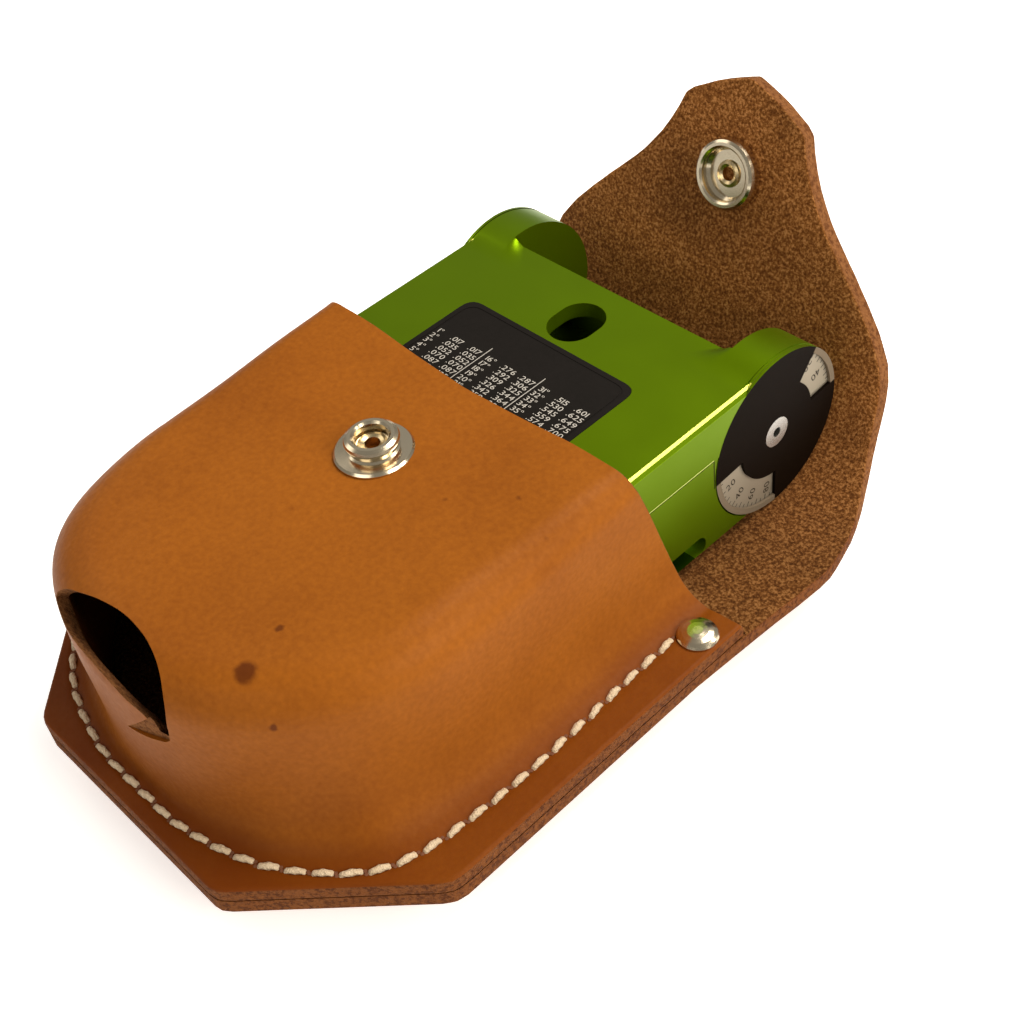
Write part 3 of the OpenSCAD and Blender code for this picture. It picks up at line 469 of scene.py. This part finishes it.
tear_x, tear_z = tear.T
tear_open = np.stack([tear_x, np.full(len(tear), -70.0), tear_z], 1)
tear_deep = np.stack([tear_x, tear_floor(tear_x), tear_z], 1)
for first, last in ((lens_block(-17.0), lens_block(12.0)), (tear_open, tear_deep)):
    cutter = mesh_object("cutter", np.vstack([first, last]), prism_faces(len(first)), m_edge)
    cut = pouch.modifiers.new("slot", "BOOLEAN")
    cut.object = cutter
    cut.operation = "DIFFERENCE"
    cut.solver = "MANIFOLD"
    bpy.context.view_layer.update()
    cut_mesh = bpy.data.meshes.new_from_object(pouch.evaluated_get(bpy.context.evaluated_depsgraph_get()))
    pouch.modifiers.clear()
    pouch.data = cut_mesh
    bpy.data.objects.remove(cutter)

# The walls of the slot and the mouth show the fleshy middle of the leather, the flange its edge.
pouch.data.materials.clear()
for material in (m_leather, m_flesh, m_edge):
    pouch.data.materials.append(material)
(cx, cy, cz), (_, ny, nz) = (rows.T for rows in face_places(pouch.data))
finish = np.zeros(len(cx), np.int32)
finish[(cz < FLANGE_Z - 0.35) & (np.abs(nz) < 0.75)] = 2
finish[(cy > 10) & (ny > 0.5)] = 1
finish[(cx > 2.6) & (cx < 14) & (cz > 28) & (cz < 39) & (np.abs(cy - tear_floor(cx)) < 0.03)] = 1
near = np.flatnonzero((cy <= END_Y - 14) & (cz >= 25))
v = (cy[near] - SLOT_Y) * math.cos(SLOT_TILT) + (cz[near] - SLOT_Z) * math.sin(SLOT_TILT)
point = np.stack([cx[near], v], 1)[:, None]
start, end = lens, np.roll(lens, -1, axis=0)
t = np.clip(((point - start) * (end - start)).sum(2) / ((end - start) ** 2).sum(1), 0, 1)[..., None]
finish[near[np.linalg.norm(point - (start + t * (end - start)), axis=2).min(1) < 0.03]] = 1
pouch.data.polygons.foreach_set("material_index", finish)
pouch.data.polygons.foreach_set("use_smooth", [True] * len(pouch.data.polygons))
pouch.data.set_sharp_from_angle(angle=math.radians(50))

# Back panel and flap: one strip of the same leather, cut flat with a knife, its grain side out and its
# flesh side in. It bends up behind the transit as an arc. Here it is four lengths.
ARC_Y = 57.0
ARC_Z = 34.4
ARC_R = 24.0
TURN = math.radians(72)
S_ZERO = 55
S_ARC = 2.0
S_END = S_ARC + ARC_R * TURN
S_TIP = 78.0
WIDTHS = np.array([
    (-130, 53.25), (-40, 53.3), (-25, 54.1), (-20, 54.4), (-14, 54.9), (-8, 55.2), (-5, 55.1), (-2.4, 54.6),
    (0.7, 53.8), (4.1, 52.8), (7.1, 51.6), (10.2, 50.2), (13.4, 48.6), (16.5, 47.2), (19.6, 45.9),
    (22.7, 44.9), (25.8, 44.2), (29, 43.6), (32.3, 42.9), (35.6, 41.8), (38.3, 40), (40.7, 38.3),
    (43, 36.2), (45, 34.4), (47, 32.4), (49.1, 30.4), (51, 28.4), (53, 26.4), (55.1, 24.3), (57.2, 22.4),
    (59.6, 20.6), (62, 18.9), (65, 17.2), (68, 15.8), (71.2, 14.6), (72.6, 13), (73.7, 10.9), (75, 8.5),
    (76.1, 6), (77.2, 3), (77.7, 1.5), (S_TIP, 0.4),
])


def suede():
    """Flesh side: speckled short fibres in three browns, with painted shade low where the flap bends up."""
    m, t, shader = surface("suede", Roughness=0.9, Specular_IOR_Level=0.08)
    place = object_place(t)
    fibres = noise(t, place, 1700.0, 4.0, Roughness=0.7)
    browns = [(0.38, (0.088, 0.028, 0.005)), (0.51, (0.215, 0.078, 0.018)), (0.62, (0.42, 0.185, 0.058))]
    cloud_greys = [(0.35, (0.82, 0.82, 0.82)), (0.65, (1.12, 1.12, 1.12))]
    ramps = []
    for value, stops in ((fibres, browns), (noise(t, place, 45.0, 3.0), cloud_greys)):
        ramp = node(t, "ShaderNodeValToRGB", {0: value})
        while len(ramp.color_ramp.elements) < len(stops):
            ramp.color_ramp.elements.new(0.5)
        for stop, (position, color) in zip(ramp.color_ramp.elements, stops):
            stop.position = position
            stop.color = (*color, 1)
        ramps.append(ramp.outputs[0])
    color = between(t, 1.0, *ramps, blend_type="MULTIPLY")
    # Painted shade: the colour is scaled from 0.56 at 10.5 mm height to 1.08 at 24 mm, darker toward the
    # bottom.
    up = node(t, "ShaderNodeSeparateXYZ", {0: place}).outputs[2]
    color = between(t, 1.0, color, scaled(t, up, 0.0105, 0.024, 0.56, 1.08), blend_type="MULTIPLY")
    bump = node(t, "ShaderNodeBump", {"Strength": 0.5, "Distance": 0.0003, "Height": fibres}).outputs[0]
    feed(t, shader, Base_Color=color, Normal=bump)
    return m


m_suede = suede()


def strip_frame(s):
    """Point on the strip's inner face, as (y, z), with its outward normal. The distance s along the strip
    counts from y = 55: flat, then an arc of 24 mm radius through 72 degrees, then straight."""
    if s < S_ARC:
        return np.array([S_ZERO + s, PANEL_Z]), np.array([0.0, -1.0])
    a = min((s - S_ARC) / ARC_R, TURN)
    p = np.array([ARC_Y + ARC_R * math.sin(a), ARC_Z - ARC_R * math.cos(a)])
    if s > S_END:
        p = p + (s - S_END) * np.array([math.cos(TURN), math.sin(TURN)])
    return p, np.array([math.sin(a), -math.cos(a)])


def half_width(s):
    """Half the strip's width: the pouch's outline at the closed end, and the flap's from there on."""
    if s < -96:
        x, y = np.array(panel_edge[1:8]).T
        return np.interp(S_ZERO + s, y, x)
    return np.interp(s, *WIDTHS.T)


def strip(name, distances, cap_start, cap_end):
    """Closed strip of leather. Its section at each of the distances is inner face, right edge, outer face
    and left edge, and the edges swell by the radius r times sin(a) ** 0.35."""
    a = np.linspace(0, math.pi, 11)[1:-1]
    flat = np.zeros(48)
    u = np.r_[np.linspace(-1, 1, 48), np.ones(9), np.linspace(1, -1, 48), -np.ones(9)]
    swell = np.r_[flat, np.sin(a), flat, np.sin(a)] ** 0.35
    depth = np.r_[flat, (1 - np.cos(a)) / 2, flat + 1, (1 + np.cos(a)) / 2]
    rows = []
    for s in distances:
        p, n = strip_frame(s)
        h = half_width(s)
        r = min(0.15 + 0.45 * min(1, max(0, (s + 5) / 10)), h * 0.5)
        yz = p + n * LEATHER * depth[:, None]
        rows.append(np.column_stack([u * (h - r) + np.copysign(r * swell, u), yz]))
    n, m = len(rows), len(u)
    faces = grid_faces(n, m, wrap=True)
    if cap_start:
        faces.append(tuple(range(m)))
    if cap_end:
        faces.append(tuple(range((n - 1) * m, n * m))[::-1])
    return mesh_object(name, np.vstack(rows), faces, m_suede)


def steps(a, b, step):
    """Even distances from a to b, about one step apart."""
    return list(np.linspace(a, b, max(2, int(abs(b - a) / step) + 1)))


low = S_ARC + ARC_R * math.radians(12)
mid = S_ARC + ARC_R * math.radians(36)
high = 36.0
tail = TAIL_Y - S_ZERO
panel = [tail, tail + 0.3, tail + 0.8, tail + 1.4] + steps(tail + 2, -40, 1.0) + steps(-39, low, 0.5)
tongue = steps(high, S_TIP - 0.6, 0.4) + [S_TIP - 0.3, S_TIP]
panel_length = strip("panel_leather", panel, True, False)
low_length = strip("flap_leather_low", steps(low, mid, 0.4), False, False)
mid_length = strip("flap_leather_mid", steps(mid, high, 0.4), False, False)
tongue_length = strip("flap_leather_tongue", tongue, False, True)
for o, edge, body, next_body, s0, s1, nodes in (
    (panel_length, m_edge, "case", "flap_low", -0.6, 4.6, ("back_panel", "flap_bend_lower")),
    (low_length, m_flesh, "flap_low", "flap_mid", 9.6, 14.5, ("flap_bend_upper",)),
    (mid_length, m_flesh, "flap_mid", "flap_high", 19.6, 24.6, ("flap_wall",)),
    (tongue_length, m_flesh, "flap_high", "tongue", 46.5, 53.5, ("flap_tongue",)),
):
    o.data.materials.append(edge)
    o.data.materials.append(m_leather)
    (_, cy, cz), (nx, ny, nz) = (rows.T for rows in face_places(o.data))
    bend = np.minimum(np.arctan2(cy - ARC_Y, np.maximum(0.01, ARC_Z - cz)), TURN) * (cy > ARC_Y)
    facing = ny * np.sin(bend) - nz * np.cos(bend)
    finish = np.select([np.abs(nx) > 0.35, facing > 0.5, facing < -0.5], [1, 2, 0], 1).astype(np.int32)
    o.data.polygons.foreach_set("material_index", finish)
    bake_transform(o)
    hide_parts(*nodes)


# Waxed stitches: a saddle stitch of thick waxed linen thread along the flange. Each is a slanted bead
# that dives into an awl hole at either end, and no two lie quite alike.
def plain(name, light, dark, rough, grain_strength=0.1, **more):
    """Non-metal with a faint mottle and grain."""
    m, t, shader = surface(name, Roughness=rough, **more)
    color = use(t, mottle, Light=(*light, 1), Dark=(*dark, 1), Scale=60.0)["Color"]
    feed(t, shader, Base_Color=color, Normal=use(t, grain, Scale=2500.0, Strength=grain_strength)["Normal"])
    return m


m_thread = plain("waxed_thread", (0.66, 0.53, 0.37), (0.46, 0.34, 0.21), 0.65, 0.9)
# The awl holes are flat dark brown discs: painted shade in place of modelled holes.
m_hole_shade = plain("awl_hole_shade", (0.16, 0.055, 0.02), (0.10, 0.032, 0.012), 0.9, 0.1)
PITCH = 4.5
seam = np.vstack([stitch_edge[::-1] * [-1, 1], stitch_edge[1:]])
seam = seam[seam[:, 1] < 17.5]
along = np.r_[0, np.cumsum(np.linalg.norm(np.diff(seam, axis=0), axis=1))]
count = int(along[-1] / PITCH)
centres = (np.arange(count) + 0.5) * along[-1] / count


def on_seam(s):
    """Points of the seam at the distances s."""
    return np.stack([np.interp(s, along, seam[:, k]) for k in (0, 1)], 1)


def bead(centre, d, side, length, radius):
    """One stitch as a tube of 15 by 12 points. Along t its height is 0.62 sin(pi t) ** 0.45 and its radius
    shrinks to 62% at the ends; round it the thread's two plies swell it by 10%."""
    t = np.linspace(0, 1, 15)[:, None]
    a = 2 * math.pi * np.arange(12)[None] / 12
    arch = np.sin(math.pi * t)
    r = radius * (0.62 + 0.38 * arch**0.5) * (1 + 0.10 * np.cos(2 * (a - t * 7.0)))
    xy = centre + d * ((t - 0.5) * length)[..., None] + side * (r * np.cos(a))[..., None]
    z = FLANGE_Z - 0.15 + 0.62 * arch**0.45 - 0.35 + r * np.sin(a) * 0.9
    return np.concatenate([xy, z[..., None]], 2).reshape(-1, 3)


ahead = on_seam(np.minimum(centres + 1, along[-1])) - on_seam(np.maximum(centres - 1, 0))
rng = np.random.default_rng(7)
bead_v, bead_f, hole_v, hole_f = [], [], [], []
round_hole = 2 * math.pi * np.arange(10)[:, None] / 10
for centre, direction in zip(on_seam(centres), ahead):
    slant = math.radians(8 + rng.normal(0, 2.5))
    ux, uy = direction / np.linalg.norm(direction)
    d = np.array([ux * math.cos(slant) - uy * math.sin(slant), ux * math.sin(slant) + uy * math.cos(slant)])
    side = np.array([-d[1], d[0]])
    length = 3.75 + rng.normal(0, 0.12)
    radius = 0.62 + rng.normal(0, 0.03)
    base = 15 * 12 * len(bead_v)
    bead_v.append(bead(centre, d, side, length, radius))
    bead_f += grid_faces(15, 12, wrap=True, base=base)
    bead_f += [tuple(range(base, base + 12))[::-1], tuple(range(base + 14 * 12, base + 15 * 12))]
    # At each end of a bead a flat dark disc stands for the awl hole: painted shade.
    for way in (-1, 1):
        base = 11 * len(hole_v)
        middle = centre + d * way * (length / 2 + 0.25)
        ring = middle + d * 0.38 * np.cos(round_hole) + side * 0.34 * np.sin(round_hole)
        hole_v.append(np.vstack([[*middle, FLANGE_Z - 0.02], np.insert(ring, 2, FLANGE_Z - 0.1, axis=1)]))
        hole_f += [(base, base + 1 + j, base + 1 + (j + 1) % 10) for j in range(10)]
thread = mesh_object("waxed_stitches", np.vstack(bead_v), bead_f, m_thread, weld=False)
holes = mesh_object("awl_hole_shades", np.vstack(hole_v), hole_f, m_hole_shade, weld=False)
for o in (thread, holes):
    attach(o, "case")


# Rivets, snap and belt loop: nickelled steel caps and stud, pressed over a brass eyelet and cap, and a
# strap of the same leather riveted across the back. They keep their CAD shape with broken edges.

# Satin: very fine scratches drawn in one direction, and cloudy wear.
satin, given, result = new_group(
    "satin", {"Strength": 0.05}, {"Normal": "NodeSocketVector", "Wear": "NodeSocketFloat"}
)
place = object_place(satin)
drawn = node(satin, "ShaderNodeMapping", {"Vector": place, "Scale": (1.0, 0.08, 1.0)}).outputs[0]
links = {"Strength": given["Strength"], "Distance": 0.00005, "Height": noise(satin, drawn, 1500.0, 2.0)}
satin.links.new(node(satin, "ShaderNodeBump", links).outputs[0], result["Normal"])
satin.links.new(noise(satin, place, 90.0, 4.0), result["Wear"])


def metal(name, color, rough, wear_color=None, scratch=0.05, metallic=1.0, **more):
    """Satin metal with fine scratches, whose colour and roughness drift a little over the surface."""
    m, t, shader = surface(name, Metallic=metallic, **more)
    finish = use(t, satin, Strength=scratch)
    worn = wear_color or [x * 0.85 for x in color]
    mixed = between(t, finish["Wear"], (*color, 1), (*worn, 1))
    roughness = scaled(t, finish["Wear"], 0.0, 1.0, rough * 0.8, rough * 1.25)
    feed(t, shader, Base_Color=mixed, Roughness=roughness, Normal=finish["Normal"])
    return m


def dress(material, *names):
    """Gives CAD pieces their material."""
    for name in names:
        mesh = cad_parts[name].data
        mesh.materials.clear()
        mesh.materials.append(material)


def break_edges(width, angle, *names):
    """Rounds the edges sharper than the angle on CAD pieces."""
    for name in names:
        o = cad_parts[name]
        o.data.polygons.foreach_set("use_smooth", [True] * len(o.data.polygons))
        bevel = o.modifiers.new("edge", "BEVEL")
        bevel.width = width * MM
        bevel.segments = 2
        bevel.limit_method = "ANGLE"
        bevel.angle_limit = math.radians(angle)
        bevel.harden_normals = True


m_nickel = metal("nickel", (0.66, 0.57, 0.42), 0.19)
m_brass = metal("brass", (0.60, 0.47, 0.27), 0.26)
dress(m_nickel, "mouth_rivets", "snap_stud", "loop_rivets", "snap_socket")
dress(m_brass, "stud_eyelet", "snap_cap")
dress(m_leather, "back_panel", "pouch_front", "belt_loop")
dress(m_suede, "flap_bend_lower", "flap_bend_upper", "flap_wall", "flap_tongue")
break_edges(0.1, 25, "mouth_rivets", "snap_stud", "stud_eyelet", "snap_socket", "snap_cap", "loop_rivets")
break_edges(0.3, 35, "belt_loop")

# Housing: body and lid milled from aluminium and anodised green, with bright broken edges. Colour painted by
# place: a painted highlight on the lid's edge with painted shade under it, a painted highlight above the
# parting line with painted shade in its gap and in the joint line down to the ear, and painted shade in the
# level's slot.
m_green = metal(
    "green_anodised", (0.124, 0.212, 0.001), 0.36, (0.114, 0.198, 0.001), 0.0, 0.8, Specular_IOR_Level=0.03
)
t = m_green.node_tree
x, y, z = node(t, "ShaderNodeSeparateXYZ", {0: object_place(t)}).outputs
x = maths(t, "ABSOLUTE", x)
base_color = t.nodes["Principled BSDF"].inputs["Base Color"]
tint = base_color.links[0].from_socket
# Painted light, by place: colour, then the x, y and z ranges in millimetres.
for painted_light, *ranges in (
    ((0.95, 0.97, 0.16, 1), (35.5, 35.93), (-60, 60), (42.9, 43.59)),
    ((0.060, 0.105, 0.001, 1), (35.93, 36.47), (-60, 60), (42.62, 43.3)),
    ((0.75, 0.85, 0.25, 1), (36.2, 37), (-60, 39.7), (33.45, 33.62)),
    ((0.012, 0.02, 0.0, 1), (36.2, 37), (-60, 39.7), (33.24, 33.45)),
    ((0.012, 0.02, 0.0, 1), (36.2, 37), (39.55, 39.8), (26.6, 33.45)),
    ((0.016, 0.045, 0.0, 1), (30, 36.44), (8, 34), (12.4, 24)),
):
    inside = [
        maths(t, "COMPARE", axis, (low + high) / 2 * MM, (high - low) / 2 * MM)
        for axis, (low, high) in zip((x, y, z), ranges)
    ]
    mask = maths(t, "MULTIPLY", maths(t, "MULTIPLY", inside[0], inside[1]), inside[2])
    tint = between(t, mask, tint, painted_light)
t.links.new(tint, base_color)
dress(m_green, "body_shell", "lid_shell", "large_sight", "small_sight")
break_edges(0.2, 35, "lid_shell", "body_shell")

# Ramps from the lid's top to its two ears: part of the same milling, left by a round cutter that ran out
# of the ear. Each is a small piece here, over the lid's plain top.
HINGE_Y = 57.2
HINGE_Z = 27.95
EAR_R = 17.0
LID_TOP = 43.6


def ear_ramp(side):
    """Rise of the lid's top to one ear, as a grid over x and y.

    Along y it is a hollow of 16 mm radius that runs tangent into the ear's 17 mm circle. Across x it
    falls from the ear toward the middle by 3t^2 - 2t^3, over a width that shrinks to 2.5 mm at the
    hinge end.
    """
    ys = np.linspace(47.0, 55.0, 40)
    start, meets, r_fill = 47.86, 52.39, 16.0
    hollow = r_fill - np.sqrt(r_fill**2 - np.clip(ys - start, 0, meets - start) ** 2)
    ear = HINGE_Z + np.sqrt(EAR_R**2 - (ys - HINGE_Y) ** 2) - LID_TOP
    rise = np.where(ys <= meets, hollow, ear)
    t = np.r_[np.linspace(0, 1, 24), np.ones(10)][:, None]
    over_ear = np.r_[np.zeros(24), np.linspace(0.7, 7.3, 10)][:, None]
    x = 27.9 - (2.5 + 7.5 * (55 - ys[None]) / 8) * (1 - t) + over_ear
    z = LID_TOP + 0.003 + rise[None] * t * t * (3 - 2 * t)
    top = np.stack([side * x, np.broadcast_to(ys[None], z.shape), z], 2)
    low = top.copy()
    low[..., 2] = LID_TOP - 0.05
    n, m = z.shape
    faces = grid_faces(n, m) + [f[::-1] for f in grid_faces(n, m, base=n * m)]
    rim = [i * m for i in range(n)] + [(n - 1) * m + j for j in range(1, m)]
    rim += [i * m + m - 1 for i in range(n - 2, -1, -1)] + list(range(m - 2, 0, -1))
    faces += [(a, b, n * m + b, n * m + a) for a, b in zip(rim, rim[1:] + rim[:1])]
    return np.vstack([top.reshape(-1, 3), low.reshape(-1, 3)]), faces


for side, name in ((1, "ear_ramp_right"), (-1, "ear_ramp_left")):
    o = mesh_object(name, *ear_ramp(side), m_green)
    o.data.set_sharp_from_angle(angle=math.radians(40))
    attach(o, "lid")


# Label plate: thin aluminium, black, set in the lid's top and printed with degrees, sine and tangent from
# 1 to 45 in three groups, parted by two lines.
def character(letter):
    """Vertices, faces and width of one character of the built-in font, one unit high."""
    curve = bpy.data.curves.new("character", "FONT")
    curve.body = letter
    curve.resolution_u = 3
    o = bpy.data.objects.new("character", curve)
    bpy.context.scene.collection.objects.link(o)
    bpy.context.view_layer.update()
    mesh = bpy.data.meshes.new_from_object(o.evaluated_get(bpy.context.evaluated_depsgraph_get()))
    v = np.array([tuple(q.co) for q in mesh.vertices])[:, :2] / 0.70
    f = [tuple(q.vertices) for q in mesh.polygons]
    bpy.data.objects.remove(o)
    bpy.data.curves.remove(curve)
    bpy.data.meshes.remove(mesh)
    return v - [v[:, 0].min(), 0], f, v[:, 0].max() - v[:, 0].min()


alphabet = {letter: character(letter) for letter in "0123456789.\u00b0"}


def number(digits, height, stretch=1.25):
    """Flat vertices and faces of a short number, centred on 0, in millimetres; stretch widens it."""
    rows, faces, x = [], [], 0.0
    for letter in digits:
        v, f, width = alphabet[letter]
        base = sum(map(len, rows))
        faces += [tuple(base + k for k in q) for q in f]
        rows.append((v + [x, -0.5]) * [stretch * height, height])
        x += width + 0.14
    return np.vstack(rows) - [stretch * height * (x - 0.14) / 2, 0], faces


class Print:
    """Numbers and lines gathered into one flat mesh."""

    def __init__(self):
        self.verts = []
        self.faces = []

    def add(self, verts, faces):
        base = len(self.verts)
        self.verts += [tuple(v) for v in verts]
        self.faces += [tuple(base + k for k in f) for f in faces]


PRINT_Z = LID_TOP + 0.062
m_label = plain(
    "label_black", (0.007, 0.0058, 0.0048), (0.010, 0.008, 0.007), 0.62, 0.03, Specular_IOR_Level=0.06
)
m_print = plain("pale_print", (0.46, 0.43, 0.39), (0.36, 0.34, 0.31), 0.5, 0.05, Specular_IOR_Level=0.1)
dress(m_label, "label_plate")
break_edges(0.05, 35, "label_plate")
printing = Print()
for group, x0 in enumerate((-5.15 - 13.68, -5.15, 8.53)):
    for row in range(15):
        degrees = 1 + row + 15 * group
        angle = math.radians(degrees)
        sine = ("%.3f" % math.sin(angle))[1:]
        tangent = ("%.3f" % min(0.9999, math.tan(angle)))[-4:] if degrees < 45 else "1.000"
        for digits, dx in (("%d\u00b0" % degrees, 0.0), (sine, 4.55), (tangent, 9.3)):
            v, f = number(digits, 1.2)
            printing.add(np.insert(v + [x0 + dx, 26.55 - 1.7 * row], 2, PRINT_Z, axis=1), f)
for x in (-7.3, 6.48):
    corners = ((x - 0.09, 1.5), (x + 0.09, 1.5), (x + 0.09, 29.0), (x - 0.09, 29.0))
    printing.add([(*corner, PRINT_Z) for corner in corners], [(0, 1, 2, 3)])
table = mesh_object("number_table", printing.verts, printing.faces, m_print, weld=False, smooth=False)
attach(table, "lid")


# Hinge dials: a black cover over a silver scale in each ear, both turned from aluminium. Two windows in
# the cover show the scale, and its pale bevel frames them. The discs' rims show the ear's green.
WINDOW_R = 15.72


def dial_cover():
    """Black, and pale brown outside the windows' radius over the angles of the two windows."""
    m, t, shader = surface("dial_black", Roughness=0.55, Specular_IOR_Level=0.03)
    _, y, z = node(t, "ShaderNodeSeparateXYZ", {0: object_place(t)}).outputs
    y = maths(t, "SUBTRACT", y, HINGE_Y * MM)
    z = maths(t, "SUBTRACT", z, HINGE_Z * MM)
    angle = maths(t, "ARCTAN2", z, y)
    radius_squared = maths(t, "MULTIPLY_ADD", z, z, maths(t, "MULTIPLY", y, y))
    windows = []
    for first, last in ((-176, -91), (5, 50)):
        after = maths(t, "GREATER_THAN", angle, math.radians(first))
        before = maths(t, "LESS_THAN", angle, math.radians(last))
        windows.append(maths(t, "MULTIPLY", after, before))
    outside = maths(t, "GREATER_THAN", radius_squared, (WINDOW_R * MM) ** 2)
    bevel = maths(t, "MULTIPLY", maths(t, "MAXIMUM", *windows), outside)
    blacks = {"Light": (0.0055, 0.003, 0.0016, 1), "Dark": (0.004, 0.002, 0.001, 1)}
    ground = use(t, mottle, **blacks, Scale=80.0)["Color"]
    feed(t, shader, Base_Color=between(t, bevel, ground, (0.15, 0.115, 0.08, 1)))
    return m


m_scale = metal("silver_scale", (0.36, 0.31, 0.235), 0.5, None, 0.02, 0.6)
m_dark_print = plain(
    "dark_print", (0.03, 0.02, 0.015), (0.02, 0.014, 0.01), 0.5, 0.05, Specular_IOR_Level=0.1
)
dress(dial_cover(), "dial_cover_right", "dial_cover_left")
dress(m_scale, "dial_scale_right", "dial_scale_left")
break_edges(0.08, 35, "dial_cover_right", "dial_scale_right")
for name in ("dial_cover_right", "dial_cover_left", "dial_scale_right", "dial_scale_left"):
    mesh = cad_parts[name].data
    mesh.materials.append(m_green)
    (_, cy, cz), (nx, _, _) = (rows.T for rows in face_places(mesh))
    on_rim = (np.abs(nx) < 0.5) & (np.hypot(cy - HINGE_Y, cz - HINGE_Z) > 16.4)
    mesh.polygons.foreach_set("material_index", on_rim.astype(np.int32))

# Graduations under the windows: a mark each 5 degrees, longer each 10, and numbers each 20 that read
# toward the middle.
MARKS_X = 35.83
for side, name in ((1, "dial_marks_right"), (-1, "dial_marks_left")):
    printing = Print()
    for start, way, span in ((-179.0, 1, 88), (64.5, -1, 59)):
        for k in range(0, span, 5):
            a = math.radians(start + way * k)
            outward = np.array([math.cos(a), math.sin(a)])
            sideways = np.array([-math.sin(a), math.cos(a)])
            if k % 20 == 0:
                v, f = number("%d" % k, 1.6, 1.1)
                place = outward * (13.15 - v[:, :1]) - sideways * v[:, 1:]
                printing.add(np.insert(place + [HINGE_Y, HINGE_Z], 0, side * MARKS_X, axis=1), f)
            r0 = 14.75 if k % 10 == 0 else 15.15
            w = sideways * 0.1
            mark = np.array([outward * r0 - w, outward * r0 + w, outward * 15.9 + w, outward * 15.9 - w])
            mark += [HINGE_Y, HINGE_Z]
            printing.add(np.insert(mark, 0, side * MARKS_X, axis=1), [(0, 1, 2, 3)])
    marks = mesh_object(name, printing.verts, printing.faces, m_dark_print, weld=False, smooth=False)
    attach(marks, "lid")

# Works, shut inside the housing: steel shafts and levers, brass fittings, a blued needle balanced by
# copper wire, silver scales, two spirit levels, glass on a rubber gasket and mirror in black rings, and
# nylon washers at the hinge.
dress(m_brass, "round_level_holder", "adjusting_pinion", "needle_cap", "vial_holder")
dress(m_scale, "clinometer_dial", "azimuth_ring")
dress(
    metal("steel", (0.62, 0.61, 0.58), 0.25), "hinge_shaft", "lift_lever", "lift_pin", "large_sight_pin",
    "small_sight_pin", "pivot_post", "clinometer_shaft", "vernier_arm", "clinometer_lever",
)
dress(
    metal("black_anodised", (0.018, 0.016, 0.015), 0.35, (0.03, 0.026, 0.022), 0.03, 0.6), "mirror_ring",
    "glass_ring",
)
dress(plain("rubber", (0.03, 0.03, 0.03), (0.02, 0.02, 0.02), 0.7, 0.2), "glass_gasket")
dress(plain("nylon", (0.7, 0.66, 0.55), (0.6, 0.57, 0.48), 0.5, 0.05), "hinge_washers")
dress(metal("blued_steel", (0.03, 0.05, 0.12), 0.25), "needle")
dress(metal("copper_wire", (0.6, 0.3, 0.15), 0.3), "needle_weight")
dress(metal("mirror_silver", (0.85, 0.87, 0.88), 0.03, None, 0.0), "mirror_glass")
glass = {"Transmission_Weight": 1.0, "IOR": 1.5}
dress(plain("cover_glass", (0.9, 0.95, 0.95), (0.88, 0.93, 0.93), 0.03, 0.0, **glass), "glass")
glass = {"Transmission_Weight": 0.8, "IOR": 1.45}
m_level = plain("level_glass", (0.6, 0.8, 0.3), (0.5, 0.7, 0.25), 0.05, 0.0, **glass)
dress(m_level, "round_level", "clinometer_vial")
break_edges(0.1, 25, "hinge_shaft")

# Floor, lamps and camera: a pale table top under soft boxes, and the photograph's view with the focal
# length that was solved from it, 1539.9 pixels for a picture 1024 wide.
m_floor = plain(
    "floor", (0.9, 0.9, 0.9), (0.89, 0.89, 0.89), 0.8, 0.0, Emission_Color=(1, 1, 1, 1), Emission_Strength=0.5
)
corners = [(-900, -900, 0), (900, -900, 0), (900, 900, 0), (-900, 900, 0)]
floor = mesh_object("floor", corners, [(0, 1, 2, 3)], m_floor, weld=False)


def softbox(name, at, target, size, power, color=(1, 1, 1)):
    """A rectangular lamp that faces its target."""
    lamp = bpy.data.lights.new(name, "AREA")
    lamp.shape = "RECTANGLE"
    lamp.size, lamp.size_y = size
    lamp.energy = power
    lamp.color = color
    o = bpy.data.objects.new(name, lamp)
    o.location = Vector(at)
    o.rotation_euler = (Vector(target) - Vector(at)).to_track_quat("-Z", "Y").to_euler()
    bpy.context.scene.collection.objects.link(o)


softbox("key", (0.13, 0.48, 0.80), (0, 0, 0.02), (0.45, 0.45), 8.0, (1, 0.95, 0.86))
softbox("side", (0.80, 0.10, 0.50), (0, 0, 0.02), (0.35, 0.5), 5.4, (1, 0.94, 0.82))
softbox("edge", (0.68, 0.53, 0.54), (0, 0.02, 0.04), (0.22, 0.3), 1.6, (1, 0.94, 0.82))
softbox("fill", (-0.6, -0.15, 0.55), (0, 0, 0.02), (0.6, 0.4), 1.4, (1, 0.94, 0.84))
softbox("front", (0.15, -0.80, 0.55), (0, 0, 0.03), (0.6, 0.4), 1.9, (1, 0.94, 0.84))
softbox("sky", (-0.52, 0.53, 0.68), (0, 0, 0.04), (0.6, 0.6), 0.12)
world = bpy.data.worlds.new("studio")
bpy.context.scene.world = world
world.use_nodes = True
background = world.node_tree.nodes["Background"].inputs
background[0].default_value = (1.0, 0.95, 0.86, 1)
background[1].default_value = 0.3

cam = bpy.data.cameras.new("photo_camera")
cam.sensor_width = 36
cam.lens = 1539.9 / 1024 * cam.sensor_width
cam.clip_start = 0.01
camera = bpy.data.objects.new("photo_camera", cam)
camera.location = (0.16713, -0.10990, 0.22134)
camera.rotation_euler = Euler([math.radians(a) for a in (45.024, 6.098, 45.659)], "XYZ")
bpy.context.scene.collection.objects.link(camera)
bpy.context.scene.camera = camera
bpy.context.scene.view_settings.view_transform = "Standard"
